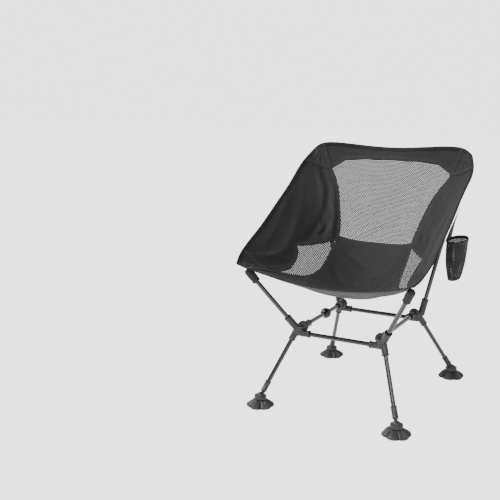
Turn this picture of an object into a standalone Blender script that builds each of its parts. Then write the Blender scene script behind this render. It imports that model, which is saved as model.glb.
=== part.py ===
"""Low four-legged camping chair: a sling seat on a tube frame with moulded corner hubs.

The seat sling is one smooth surface with two numbers to a point. "across" runs from -1 at the
left edge to 1 at the right edge. "along" runs from 0 at the front hem to 1 at the top hem.
Every fabric panel is a patch of that surface.
"""

import math

import bmesh
import bpy
import numpy as np
from mathutils import Matrix, Vector

# Fits and gaps, in metres
GAP = 0.0003            # between pieces that rest on each other
BORE_CLEARANCE = 0.0004  # around a tube in its socket, on the radius
BALL_CLEARANCE = 0.0005  # around the foot's ball
SEAM_GAP = 0.0012       # between fabric panels, bridged by thread and tape

# Tubes
TUBE_RADIUS = 0.006
TUBE_WALL = 0.0009
CORD_RADIUS = 0.0014
CORD_REACH = 0.085      # how far the shock cord runs down inside a leg

TUBE_SIDES = 12

# Hub frame
HUB_HALF_WIDTH = 0.111
HUB_FRONT_Y = -0.1575
HUB_REAR_Y = 0.130
CROSS_BAR_Z = 0.1955
SIDE_BAR_Z = CROSS_BAR_Z + 0.0165
JOINT_BALL_RADIUS = TUBE_RADIUS + 0.0092
JOINT_BALL_Y = 0.0

# Hubs
SOCKET_RADIUS = TUBE_RADIUS + 0.003
HUB_CORE_RADIUS = SOCKET_RADIUS + 0.0045
HUB_CORE_SHIFT = 0.006       # outwards from the corner where the bars' axes meet
HUB_CORE_DROP = 0.006
CROSS_SOCKET_REACH = 0.026   # from the hub's corner to the mouth
CROSS_BAR_SEAT = 0.020       # how much of a bar is inside its socket
SIDE_SOCKET_REACH = 0.046
SIDE_BAR_SEAT = 0.026
DISC_RADIUS = SOCKET_RADIUS + 0.0065
DISC_WIDTH = 0.011
DISC_SETBACK = 0.010
LEG_SLEEVE_ABOVE = 0.024
LEG_SLEEVE_BELOW = 0.022
LEG_SEAT_ABOVE = 0.0085
ARM_SOCKET_START = 0.024
ARM_SEAT_START = 0.034
ARM_SOCKET_END = 0.060
ARM_SOCKET_RADIUS = TUBE_RADIUS + 0.0042

# Sling's box, over the side edges and between the arm tips
SLING_WIDTH = 0.254          # half of the width
SLING_FRONT_Y = -0.257
SLING_REAR_Y = 0.1865
SLING_FRONT_Z = 0.383
SLING_REAR_Z = 0.649

# Legs and arms, each given for the right side: where its axis passes the hub, and its far end
LEG_HEAD = {"front": (HUB_HALF_WIDTH + 0.016, HUB_FRONT_Y - 0.0055),
            "rear": (HUB_HALF_WIDTH + 0.0154, HUB_REAR_Y + 0.0048)}
FOOT_CENTRE = {"front": (0.193, -0.238), "rear": (0.194, 0.238)}
ARM_FOOT = {"front": (HUB_HALF_WIDTH + 0.0044, HUB_FRONT_Y + 0.0042),
            "rear": (HUB_HALF_WIDTH + 0.013, HUB_REAR_Y + 0.0031)}
POUCH_SPOT = {"front": (0.60505, 0.03634), "rear": (0.69038, 0.9556)}   # across and along, over the arm's tip
POUCH_SINK = {"front": 0.0012, "rear": 0.0001}   # how far the pouch's round wall reaches into the cloth
ARM_CAP_RADIUS = TUBE_RADIUS + 0.001
ARM_CAP_LENGTH = 0.018
ARM_CAP_END = 0.004          # thickness of its closed end
ARM_CAP_CHAMFER = 0.0025
POUCH_WALL = 0.0026
POUCH_MOUTH = 0.042          # length of the arm inside its corner pocket
POUCH_RADIUS = ARM_CAP_RADIUS + BORE_CLEARANCE + POUCH_WALL

# Feet
BALL_RADIUS = 0.012
BALL_CENTRE_Z = 0.026
BALL_NECK_RADIUS = 0.0046
FOOT_SLEEVE_RADIUS = TUBE_RADIUS + 0.0025
FOOT_SLEEVE_START = 0.0175
FOOT_SLEEVE_LENGTH = 0.030
FOOT_BORE_FLOOR = 0.0215
PAD_RADIUS = 0.0375
PAD_GROOVE_SHARE = 0.86
PAD_PETALS = 6
PAD_NECK_RADIUS = BALL_RADIUS + 0.0022
PAD_RIM_HEIGHT = 0.0045
COLLAR_RADIUS = PAD_NECK_RADIUS + 0.0026
COLLAR_RISE = 0.0045         # above the ball's centre
COLLAR_DROP = 0.0055         # below the ball's centre

# Sling: ribs for the right half, as (along, x share, y share, z share) of the box of arm tips
EDGE_RIB = [(0, 0.945, -0.059, 0.055), (0.08, 0.984, 0.016, 0.115), (0.3, 1.0, 0.262, 0.31),
            (0.5, 1.0, 0.484, 0.515), (0.7, 0.997, 0.703, 0.733), (0.9, 0.992, 0.895, 0.944),
            (1, 0.933, 0.976, 1.055)]
SEAM_RIB = [(0, 0.846, -0.034, 0.01), (0.12, 0.803, 0.124, -0.056), (0.19, 0.705, 0.225, -0.105),
            (0.28, 0.545, 0.35, -0.17), (0.37, 0.46, 0.49, -0.16), (0.48, 0.442, 0.66, 0.01),
            (0.56, 0.437, 0.755, 0.158), (0.68, 0.5, 0.845, 0.41), (0.8, 0.595, 0.931, 0.65),
            (0.91, 0.724, 0.99, 0.861), (1, 0.81, 0.985, 1.125)]
MIDDLE_RIB = [(0, 0, 0.043, -0.132), (0.12, 0, 0.178, -0.244), (0.27, 0, 0.372, -0.338),
              (0.4, 0, 0.58, -0.305), (0.48, 0, 0.71, -0.139), (0.56, 0, 0.805, 0.105),
              (0.7, 0, 0.906, 0.41), (0.85, 0, 0.981, 0.759), (1, 0, 1.021, 1.094)]
SEAM_ACROSS = 0.55
CLOTH_THICKNESS = 0.0012
WAIST_ALONG = 0.56           # where the seat panel meets the back mesh
BAND_ALONG = 0.945           # lower edge of the top band
CORNER_ALONG = 0.905         # lower edge of the rear corner patches
MESH_CUT_ACROSS = 0.36       # where the mesh's top corners are cut off
FRONT_PATCH_ALONG = 0.13
BINDING_RADIUS = 0.0018
BINDING_GAP = 0.0008
VENT_OUTLINE = [(0.19, 0.012), (0.3, 0.13), (0.375, 0.19), (0.4025, 0.225), (0.53, 0.03)]  # along, width
PATCH_ROWS = 3               # steps along a corner patch
LOWER_ROWS = 2               # steps between the front patch and the side vent
VENT_ROWS = 8
BACK_ROWS = 7                # steps from the waist up to the rear patches
VENT_STEP = 0.004            # how far along the side panel's edge turns out to the vent

# Mesh pocket on the right side
POCKET_Y = -0.030
POCKET_STAND_OFF = 0.011     # from the side edge out to the pocket's middle
POCKET_HALF_LENGTH = 0.055
POCKET_HALF_WIDTH = 0.024
POCKET_DEPTH = 0.105
POCKET_DROP = 0.062          # from the side edge down to the rim
POCKET_RIM_RADIUS = 0.0022
HANGER_HALF_LENGTH = 0.030

CORNERS = [(end, side) for end in ("front", "rear") for side in ("left", "right")]
COLOURS = {
    "anodised_tube": ((0.012, 0.012, 0.013), 0.9, 0.28), "hub_plastic": ((0.03, 0.03, 0.032), 0.0, 0.45),
    "ball_plastic": ((0.012, 0.012, 0.012), 0.0, 0.35), "pad_rubber": ((0.035, 0.035, 0.036), 0.0, 0.6),
    "shock_cord": ((0.02, 0.02, 0.02), 0.0, 0.8), "seat_cloth": ((0.035, 0.035, 0.036), 0.0, 0.75),
    "mesh_cloth": ((0.22, 0.22, 0.22), 0.0, 0.8), "binding_tape": ((0.012, 0.012, 0.012), 0.0, 0.7),
    "pocket_net": ((0.06, 0.06, 0.06), 0.0, 0.8),
}


def clear_scene():
    for thing in list(bpy.data.objects):
        bpy.data.objects.remove(thing, do_unlink=True)


def new_collection(name):
    collection = bpy.data.collections.new(name)
    bpy.context.scene.collection.children.link(collection)
    return collection


def material(name):
    found = bpy.data.materials.get(name)
    if found:
        return found
    colour, metallic, roughness = COLOURS[name]
    made = bpy.data.materials.new(name)
    made.use_nodes = True
    shader = made.node_tree.nodes["Principled BSDF"]
    shader.inputs["Base Color"].default_value = (*colour, 1)
    shader.inputs["Metallic"].default_value = metallic
    shader.inputs["Roughness"].default_value = roughness
    return made


def add_object(name, mesh, finish, collection, parent=None):
    thing = bpy.data.objects.new(name, mesh)
    collection.objects.link(thing)
    if finish:
        mesh.materials.append(material(finish))
    thing.parent = parent
    return thing


# Turned pieces -----------------------------------------------------------------------------

def place_along(thing, start, toward):
    """Puts the object's origin at start, with its Z axis pointing at toward."""
    direction = (Vector(toward) - Vector(start)).normalized()
    thing.rotation_mode = "QUATERNION"
    thing.rotation_quaternion = direction.to_track_quat("Z", "Y")
    thing.location = start


def turned(name, profile, start, toward, finish, collection, steps=16, closed=False, parent=None, phase=0):
    """A profile of (radius, height) points, turned about the line from start to toward."""
    mesh = bpy.data.meshes.new(name)
    edges = [(i, i + 1) for i in range(len(profile) - 1)]
    if closed:
        edges.append((len(profile) - 1, 0))
    spots = [(radius * math.cos(phase), radius * math.sin(phase), height) for radius, height in profile]
    mesh.from_pydata(spots, edges, [])
    thing = add_object(name, mesh, finish, collection, parent)
    screw = thing.modifiers.new("turn", "SCREW")
    screw.axis = "Z"
    screw.steps = screw.render_steps = steps
    screw.use_merge_vertices = True
    screw.merge_threshold = 0.00001
    screw.use_smooth_shade = True
    place_along(thing, start, toward)
    return thing


def solid_profile(radius, low, high, chamfer=0.001):
    """A plain round solid with chamfered ends, from its top down its outer side."""
    return [(0, high), (radius - chamfer, high), (radius, high - chamfer),
            (radius, low + chamfer), (radius - chamfer, low), (0, low)]


def plain_profile(radius, low, high):
    """A round solid with sharp ends, for cutting bores."""
    return [(0, high), (radius, high), (radius, low), (0, low)]


def tube_profile(radius, wall, low, high):
    return [(radius - wall, high), (radius, high), (radius, low), (radius - wall, low)]


def tube(name, start, end, parent):
    """A hollow aluminium tube between two points."""
    length = (Vector(end) - Vector(start)).length
    profile = tube_profile(TUBE_RADIUS, TUBE_WALL, 0, length)
    return turned(name, profile, start, end, "anodised_tube", PARTS, TUBE_SIDES, True, parent)


# Where things are --------------------------------------------------------------------------

def mirrored(point, side):
    sign = -1 if side == "left" else 1
    return Vector((sign * point[0], *point[1:]))


def on_line(start, toward, distance):
    start, toward = Vector(start), Vector(toward)
    return start + (toward - start).normalized() * distance


def hub_centre(end, side):
    return mirrored((HUB_HALF_WIDTH, HUB_FRONT_Y if end == "front" else HUB_REAR_Y, CROSS_BAR_Z), side)


def leg_line(end, side):
    """The leg's axis: its point level with the cross bars, and the centre of the foot's ball."""
    return (mirrored((*LEG_HEAD[end], CROSS_BAR_Z), side),
            mirrored((*FOOT_CENTRE[end], BALL_CENTRE_Z), side))


def arm_line(end, side):
    """The arm's axis: its point level with the cross bars, and its tip just under the cloth."""
    under = sling_normal(*POUCH_SPOT[end]) * (POUCH_RADIUS - POUCH_SINK[end])
    return mirrored((*ARM_FOOT[end], CROSS_BAR_Z), side), mirrored(sling_point(*POUCH_SPOT[end]) + under, side)


# Hubs --------------------------------------------------------------------------------------

def boolean(thing, tool, operation):
    tool.hide_render = True
    tool.display_type = "WIRE"
    modifier = thing.modifiers.new(tool.name, "BOOLEAN")
    modifier.object = tool
    modifier.operation = operation
    modifier.solver = "EXACT"


def make_hub(end, side, parent):
    """A moulded corner: sockets for two bars, a leg and an arm, and a disc around the side bar."""
    name = f"hub_{end}_{side}"
    centre = hub_centre(end, side)
    inward_x = Vector((1 if side == "left" else -1, 0, 0))
    inward_y = Vector((0, 1 if end == "front" else -1, 0))
    side_start = Vector((centre.x, centre.y, SIDE_BAR_Z))
    leg_head, foot = leg_line(end, side)
    arm_foot, arm_tip = arm_line(end, side)
    half_step = math.pi / 12     # keeps a socket's corners off its bore's

    def add(label, profile, start, toward):
        piece = turned(f"{name}_{label}", profile, start, toward, None, CUTTERS, 12, False, parent, half_step)
        boolean(hub, piece, "UNION")

    def cut(label, low, high, start, toward):
        profile = plain_profile(TUBE_RADIUS + BORE_CLEARANCE, low - GAP, high + 0.01)
        piece = turned(f"{name}_{label}", profile, start, toward, None, CUTTERS, TUBE_SIDES, False, parent)
        boolean(hub, piece, "DIFFERENCE")

    sleeve = solid_profile(SOCKET_RADIUS, -LEG_SLEEVE_ABOVE, LEG_SLEEVE_BELOW)
    hub = turned(name, sleeve, leg_head, foot, "hub_plastic", PARTS, 12, False, parent, half_step)
    core_start = centre - inward_x * HUB_CORE_SHIFT
    core = solid_profile(HUB_CORE_RADIUS, -HUB_CORE_DROP, SIDE_BAR_Z - CROSS_BAR_Z + HUB_CORE_DROP, 0.003)
    add("core", core, core_start, core_start + Vector((0, 0, 1)))
    cross_end, side_end = centre + inward_x, side_start + inward_y
    add("cross", solid_profile(SOCKET_RADIUS + 0.0001, -0.004, CROSS_SOCKET_REACH), centre, cross_end)
    disc = solid_profile(DISC_RADIUS, DISC_SETBACK - DISC_WIDTH / 2, DISC_SETBACK + DISC_WIDTH / 2, 0.002)
    add("disc", disc, side_start, side_end)
    add("side", plain_profile(SOCKET_RADIUS + 0.0005, 0.002, SIDE_SOCKET_REACH), side_start, side_end)
    arm_socket = solid_profile(ARM_SOCKET_RADIUS, ARM_SOCKET_START - 0.012, ARM_SOCKET_END)
    add("arm", arm_socket, arm_foot, arm_tip)
    cut("cross_bore", CROSS_SOCKET_REACH - CROSS_BAR_SEAT, CROSS_SOCKET_REACH, centre, cross_end)
    cut("side_bore", SIDE_SOCKET_REACH - SIDE_BAR_SEAT, SIDE_SOCKET_REACH, side_start, side_end)
    cut("leg_bore", -LEG_SEAT_ABOVE, LEG_SLEEVE_BELOW, leg_head, foot)
    cut("arm_bore", ARM_SEAT_START, ARM_SOCKET_END, arm_foot, arm_tip)
    return hub


# Frame bars, arms and cords ----------------------------------------------------------------

def make_bars(parent):
    reach = HUB_HALF_WIDTH - CROSS_SOCKET_REACH + CROSS_BAR_SEAT
    for name, y in (("front_bar", HUB_FRONT_Y), ("rear_bar", HUB_REAR_Y)):
        tube(name, (-reach, y, CROSS_BAR_Z), (reach, y, CROSS_BAR_Z), parent)
    front_y = HUB_FRONT_Y + SIDE_SOCKET_REACH - SIDE_BAR_SEAT
    rear_y = HUB_REAR_Y - SIDE_SOCKET_REACH + SIDE_BAR_SEAT
    x, z = HUB_HALF_WIDTH, SIDE_BAR_Z
    web = 0.0015            # the ball's middle wall, between the two half bars
    tube("side_bar_right", (x, front_y, z), (x, rear_y, z), parent)
    tube("side_bar_left_front", (-x, front_y, z), (-x, JOINT_BALL_Y - web - GAP, z), parent)
    tube("side_bar_left_rear", (-x, JOINT_BALL_Y + web + GAP, z), (-x, rear_y, z), parent)
    make_joint_ball(web, parent)


def make_joint_ball(web, parent):
    """The ball that holds the two halves of the left side bar, with a blind bore at each end."""
    bore = TUBE_RADIUS + BORE_CLEARANCE
    mouth = math.sqrt(JOINT_BALL_RADIUS ** 2 - bore ** 2)
    start_angle = math.asin(bore / JOINT_BALL_RADIUS)
    arc = [start_angle + (math.pi - 2 * start_angle) * i / 6 for i in range(7)]
    ball = [(JOINT_BALL_RADIUS * math.sin(a), JOINT_BALL_RADIUS * math.cos(a)) for a in arc]
    profile = [(0, web), (bore, web), (bore, mouth), *ball[1:-1], (bore, -mouth), (bore, -web), (0, -web)]
    start = (-HUB_HALF_WIDTH, JOINT_BALL_Y, SIDE_BAR_Z)
    turned("joint_ball", profile, start, (start[0], start[1] + 1, start[2]), "ball_plastic", PARTS,
           TUBE_SIDES, False, parent)


def make_arm(end, side, parent):
    foot, tip = arm_line(end, side)
    length = (tip - foot).length
    cap_start = length - ARM_CAP_LENGTH
    tube_end = length - ARM_CAP_END
    tube(f"arm_{end}_{side}", on_line(foot, tip, ARM_SEAT_START), on_line(foot, tip, tube_end - GAP), parent)
    bore = TUBE_RADIUS + GAP
    profile = [(0, tube_end), (bore, tube_end), (bore, cap_start), (ARM_CAP_RADIUS, cap_start),
               (ARM_CAP_RADIUS, length - ARM_CAP_CHAMFER),
               (ARM_CAP_RADIUS - ARM_CAP_CHAMFER, length), (0, length)]
    turned(f"arm_cap_{end}_{side}", profile[::-1], foot, tip, "hub_plastic", PARTS, TUBE_SIDES, False, parent)


def make_cord(end, side, parent):
    """Shock cord: held in the hub, running down inside the hollow leg."""
    head, foot = leg_line(end, side)
    profile = solid_profile(CORD_RADIUS, -LEG_SEAT_ABOVE, CORD_REACH, 0.0003)
    turned(f"shock_cord_{end}_{side}", profile, head, foot, "shock_cord", PARTS, 8, False, parent)


# Legs and feet -----------------------------------------------------------------------------

def make_leg(end, side, parent):
    head, ball = leg_line(end, side)
    top = on_line(head, ball, -LEG_SEAT_ABOVE)
    bottom = on_line(ball, head, FOOT_BORE_FLOOR + GAP)
    tube(f"leg_{end}_{side}", top, bottom, parent)

    bore = TUBE_RADIUS + BORE_CLEARANCE
    start, stop = FOOT_SLEEVE_START, FOOT_SLEEVE_START + FOOT_SLEEVE_LENGTH
    neck_angle = math.asin(BALL_NECK_RADIUS / BALL_RADIUS)
    arc = [neck_angle + (math.pi - neck_angle) * i / 5 for i in range(6)]
    sphere = [(BALL_RADIUS * math.sin(a), BALL_RADIUS * math.cos(a)) for a in arc]
    sphere[-1] = (0, -BALL_RADIUS)
    profile = [(0, FOOT_BORE_FLOOR), (bore, FOOT_BORE_FLOOR), (bore, stop), (FOOT_SLEEVE_RADIUS - 0.0008, stop),
               (FOOT_SLEEVE_RADIUS, stop - 0.0012), (FOOT_SLEEVE_RADIUS, start),
               (BALL_NECK_RADIUS + 0.0008, start - 0.004), *sphere]
    turned(f"foot_socket_{end}_{side}", profile, ball, head, "hub_plastic", PARTS, TUBE_SIDES, False, parent)


def pad_rings():
    """Rings of the foot pad as (radius of a petal's middle, radius of a groove, height)."""
    cavity = BALL_RADIUS + BALL_CLEARANCE
    neck_top = BALL_CENTRE_Z - COLLAR_DROP - GAP
    groove = PAD_RADIUS * PAD_GROOVE_SHARE
    rings = [(0, 0, 0), (PAD_RADIUS * 0.97, groove * 0.97, 0), (PAD_RADIUS, groove, 0.0012),
             (PAD_RADIUS, groove * 0.97, PAD_RIM_HEIGHT), (PAD_RADIUS * 0.72, groove * 0.60, neck_top * 0.62),
             (PAD_NECK_RADIUS * 1.25, PAD_NECK_RADIUS * 1.02, neck_top * 0.88),
             (PAD_NECK_RADIUS, PAD_NECK_RADIUS, neck_top)]
    angle = math.acos((BALL_CENTRE_Z - neck_top) / cavity)
    for step in range(3):
        a = angle * (1 - step / 3)
        rings.append((cavity * math.sin(a), cavity * math.sin(a), BALL_CENTRE_Z - cavity * math.cos(a)))
    rings.append((0, 0, BALL_CENTRE_Z - cavity))
    return rings


def make_foot(end, side, parent):
    """A fluted pad of petals with a cup for the ball, and the collar that keeps the ball in."""
    x, y, _ = mirrored((*FOOT_CENTRE[end], 0), side)
    points_round = PAD_PETALS * 4
    shape = bmesh.new()
    loops = []
    for petal, groove, height in pad_rings():
        if petal == 0:
            loops.append([shape.verts.new((0, 0, height))])
            continue
        loop = []
        for i in range(points_round):
            angle = 2 * math.pi * i / points_round
            swell = abs(math.cos(angle * PAD_PETALS / 2)) ** 0.6
            radius = groove + (petal - groove) * swell
            loop.append(shape.verts.new((radius * math.sin(angle), -radius * math.cos(angle), height)))
        loops.append(loop)
    for low, high in zip(loops, loops[1:]):
        for i in range(points_round):
            j = (i + 1) % points_round
            corners = [low[i % len(low)], low[j % len(low)], high[j % len(high)], high[i % len(high)]]
            shape.faces.new(list(dict.fromkeys(corners)))
    bmesh.ops.recalc_face_normals(shape, faces=shape.faces)
    mesh = bpy.data.meshes.new(f"foot_pad_{end}_{side}")
    shape.to_mesh(mesh)
    shape.free()
    pad = add_object(mesh.name, mesh, "pad_rubber", PARTS, parent)
    pad.location = (x, y, 0)

    cavity = BALL_RADIUS + BALL_CLEARANCE
    low, high = -COLLAR_DROP, COLLAR_RISE
    inside = [(math.sqrt(cavity ** 2 - h ** 2), h) for h in (low, 0, high)]
    profile = [*inside, (COLLAR_RADIUS - 0.0015, high), (COLLAR_RADIUS, high - 0.0015), (COLLAR_RADIUS, low)]
    centre = Vector((x, y, BALL_CENTRE_Z))
    turned(f"foot_collar_{end}_{side}", profile, centre, centre + Vector((0, 0, 1)), "hub_plastic", PARTS,
           16, True, parent)


# The sling ---------------------------------------------------------------------------------

def spline(knots):
    """A natural cubic through (parameter, coordinates...) rows, as a function of the parameter."""
    table = np.array(knots, float)
    at, values = table[:, 0], table[:, 1:]
    count, step = len(at), np.diff(at)
    system = np.eye(count)
    right = np.zeros_like(values)
    for i in range(1, count - 1):
        system[i, i - 1:i + 2] = step[i - 1], 2 * (step[i - 1] + step[i]), step[i]
        right[i] = 6 * ((values[i + 1] - values[i]) / step[i] - (values[i] - values[i - 1]) / step[i - 1])
    bend = np.linalg.solve(system, right)

    def evaluate(t):
        i = int(np.clip(np.searchsorted(at, t) - 1, 0, count - 2))
        h, before, after = step[i], at[i + 1] - t, t - at[i]
        return ((bend[i] * before ** 3 + bend[i + 1] * after ** 3) / (6 * h)
                + (values[i] / h - bend[i] * h / 6) * before
                + (values[i + 1] / h - bend[i + 1] * h / 6) * after)

    return evaluate


def rib(shares):
    """Turns a rib's shares into metres."""
    return spline([(along, x * SLING_WIDTH, SLING_FRONT_Y + y * (SLING_REAR_Y - SLING_FRONT_Y),
                    SLING_FRONT_Z + z * (SLING_REAR_Z - SLING_FRONT_Z)) for along, x, y, z in shares])


def sling_section(along):
    """The sling from side to side at one place along it, as a function of across."""
    mirror = np.array([-1, 1, 1])
    edge, seam, middle = EDGE(along), SEAM(along), MIDDLE(along)
    points = [edge * mirror, seam * mirror, middle, seam, edge]
    reach = np.cumsum([0] + [math.sqrt(np.linalg.norm(b - a)) for a, b in zip(points, points[1:])])
    curve = spline([(at, *point) for at, point in zip(reach, points)])
    return lambda across: curve(np.interp(across, (-1, -SEAM_ACROSS, 0, SEAM_ACROSS, 1), reach))


def sling_point(across, along):
    return Vector(sling_section(along)(across))


def sling_normal(across, along):
    """Points out of the seat's hollow, to its underside."""
    small = 0.01
    right = sling_point(across + small, along) - sling_point(across - small, along)
    up = sling_point(across, along + small) - sling_point(across, along - small)
    return up.cross(right).normalized()


def cloth_patch(name, where, columns, rows, finish, parent, inset=SEAM_GAP / 2):
    """A shell of cloth. where(s, t) gives across and along, for s from 0 to 1 and t down the rows."""
    steps = [t / rows for t in range(rows + 1)] if isinstance(rows, int) else rows
    grid = [[sling_point(*where(s / columns, t)) for s in range(columns + 1)] for t in steps]
    rows = len(steps) - 1
    shape = bmesh.new()
    verts = [[shape.verts.new(point) for point in row] for row in grid]
    for t in range(rows):
        for s in range(columns):
            shape.faces.new((verts[t][s], verts[t][s + 1], verts[t + 1][s + 1], verts[t + 1][s]))
    pull_in(verts, grid, inset)
    mesh = bpy.data.meshes.new(name)
    shape.to_mesh(mesh)
    shape.free()
    cloth = add_object(name, mesh, finish, PARTS, parent)
    thicken = cloth.modifiers.new("cloth", "SOLIDIFY")
    thicken.thickness = CLOTH_THICKNESS
    thicken.offset = 0
    thicken.use_even_offset = False
    return cloth


def pull_in(verts, grid, inset):
    """Moves the border of a grid of points inwards, which leaves room for the seam."""
    rows, columns = len(grid) - 1, len(grid[0]) - 1
    for t, row in enumerate(verts):
        for s, vert in enumerate(row):
            shift = Vector()
            if s in (0, columns):
                shift += (grid[t][1 if s == 0 else columns - 1] - grid[t][s]).normalized() * inset
            if t in (0, rows):
                shift += (grid[1 if t == 0 else rows - 1][s] - grid[t][s]).normalized() * inset
            vert.co = grid[t][s] + shift


def blend(low, high, share):
    return low + (high - low) * share


def back_top(across):
    """Top edge of the back mesh: level, then cut down across each corner."""
    share = (abs(across) - MESH_CUT_ACROSS) / (SEAM_ACROSS - MESH_CUT_ACROSS)
    return blend(BAND_ALONG, CORNER_ALONG, min(max(share, 0), 1))


def vent_edge(along):
    """The side panel's inner edge: the seam, or past the vent where there is one."""
    if not VENT_OUTLINE[0][0] <= along <= VENT_OUTLINE[-1][0]:
        return SEAM_ACROSS
    return SEAM_ACROSS + float(np.interp(along, *zip(*VENT_OUTLINE)))


def row_values(low, high, steps):
    return [blend(low, high, i / steps) for i in range(steps + 1)]


def along_rows():
    """Shared steps along the sling, before, beside and after the vent, so that panels' edges match."""
    vent_low, vent_high = VENT_OUTLINE[0][0], VENT_OUTLINE[-1][0]
    below = row_values(FRONT_PATCH_ALONG, vent_low - VENT_STEP, LOWER_ROWS)
    beside = row_values(vent_low, vent_high, VENT_ROWS)
    above = [vent_high + VENT_STEP, *row_values(WAIST_ALONG, CORNER_ALONG, BACK_ROWS)]
    return below, beside, above


def make_sling(parent):
    below, beside, above = along_rows()
    front = row_values(0, FRONT_PATCH_ALONG, PATCH_ROWS)[:-1]
    seat_rows = front + below + beside + above[:2]

    def middle_across(s):
        return blend(-SEAM_ACROSS, SEAM_ACROSS, s)

    def back(s, t):
        return middle_across(s), blend(WAIST_ALONG, back_top(middle_across(s)), t)

    def band(s, t):
        return middle_across(s), blend(back_top(middle_across(s)), 1, t)

    cloth_patch("seat_panel", lambda s, t: (middle_across(s), t), 10, seat_rows, "seat_cloth", parent)
    cloth_patch("back_mesh", back, 10, BACK_ROWS, "mesh_cloth", parent)
    cloth_patch("top_band", band, 10, PATCH_ROWS, "seat_cloth", parent)
    for side, sign in (("left", -1), ("right", 1)):
        cloth_patch(f"side_panel_{side}", lambda s, t: (sign * blend(vent_edge(t), 1, s), t), 5,
                    below + beside + above, "seat_cloth", parent)
        cloth_patch(f"side_vent_{side}", lambda s, t: (sign * blend(SEAM_ACROSS, vent_edge(t), s), t), 2,
                    beside, "mesh_cloth", parent)
        for end, low, high in (("front", 0, FRONT_PATCH_ALONG), ("rear", CORNER_ALONG, 1)):
            name = f"corner_pocket_{end}_{side}"
            patch = cloth_patch(name, lambda s, t: (sign * blend(SEAM_ACROSS, 1, s), blend(low, high, t)), 5,
                                PATCH_ROWS, "seat_cloth", parent)
            add_pouch(patch, end, side, parent)


def add_pouch(patch, end, side, parent):
    """Sews a round pouch to a corner patch, with a hole that the arm's end sits in."""
    foot, tip = arm_line(end, side)
    length = (tip - foot).length
    hole = ARM_CAP_RADIUS + BORE_CLEARANCE
    pouch = turned(f"{patch.name}_pouch",
                   solid_profile(POUCH_RADIUS, length - POUCH_MOUTH, length + POUCH_WALL + GAP, 0.002),
                   foot, tip, None, CUTTERS, TUBE_SIDES, False, parent, math.pi / TUBE_SIDES)
    boolean(patch, pouch, "UNION")
    cavity = turned(f"{patch.name}_cavity", plain_profile(hole, length - POUCH_MOUTH - 0.05, length + GAP),
                    foot, tip, None, CUTTERS, TUBE_SIDES, False, parent)
    boolean(patch, cavity, "DIFFERENCE")


def make_cord_curve(name, points, radius, finish, parent, cyclic=False):
    """A round tape or rim along a list of points."""
    curve = bpy.data.curves.new(name, "CURVE")
    curve.dimensions = "3D"
    curve.bevel_depth = radius
    curve.bevel_resolution = 1
    curve.resolution_u = 1
    curve.use_fill_caps = not cyclic
    line = curve.splines.new("POLY")
    line.points.add(len(points) - 1)
    for spot, point in zip(line.points, points):
        spot.co = (*point, 1)
    line.use_cyclic_u = cyclic
    curve.materials.append(material(finish))
    thing = bpy.data.objects.new(name, curve)
    PARTS.objects.link(thing)
    thing.parent = parent
    return thing


def beyond(across, along, outward):
    """A point just past the sling's edge, level with the cloth."""
    point = sling_point(across, along)
    within = sling_point(across * 0.97 if outward == "across" else across,
                         along + (0.02 if along < 0.5 else -0.02) if outward == "along" else along)
    return point + (point - within).normalized() * (BINDING_RADIUS + CLOTH_THICKNESS / 2 + BINDING_GAP)


def make_bindings(parent):
    """Tape over the four outer edges, and piping along the waist seam."""
    trim = 0.006
    for side, sign in (("left", -1), ("right", 1)):
        points = [beyond(sign, blend(trim, 1 - trim, i / 18), "across") for i in range(19)]
        make_cord_curve(f"side_binding_{side}", points, BINDING_RADIUS, "binding_tape", parent)
    for name, along in (("front_binding", 0), ("top_binding", 1)):
        points = [beyond(blend(-1, 1, i / 20) * (1 - trim), along, "along") for i in range(21)]
        make_cord_curve(name, points, BINDING_RADIUS, "binding_tape", parent)
    drop = BINDING_RADIUS + CLOTH_THICKNESS / 2 + GAP
    points = []
    for i in range(13):
        across = blend(-SEAM_ACROSS, SEAM_ACROSS, i / 12) * 0.97
        points.append(sling_point(across, WAIST_ALONG) - sling_normal(across, WAIST_ALONG) * drop)
    make_cord_curve("waist_piping", points, BINDING_RADIUS, "binding_tape", parent)


# Mesh pocket -------------------------------------------------------------------------------

def side_edge_at(y):
    """The point on the right side edge with this y."""
    low, high = 0.0, 1.0
    for _ in range(40):
        middle = (low + high) / 2
        if EDGE(middle)[1] < y:
            low = middle
        else:
            high = middle
    return Vector(EDGE(low)), low


def pocket_ring(height_share, shrink=0.0):
    """One level ring of the pocket, from its rim (0) to its bottom (1)."""
    edge, _ = side_edge_at(POCKET_Y)
    taper = 1 - 0.42 * height_share ** 2.2
    points = []
    for i in range(20):
        angle = 2 * math.pi * i / 20
        reach = POCKET_HALF_WIDTH * taper - shrink
        x = edge.x + POCKET_STAND_OFF - 0.004 * height_share + reach * math.cos(angle)
        y = POCKET_Y + (POCKET_HALF_LENGTH * taper - shrink) * math.sin(angle)
        z = edge.z - POCKET_DROP - POCKET_DEPTH * height_share
        points.append(Vector((x, y, z)))
    return points


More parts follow.
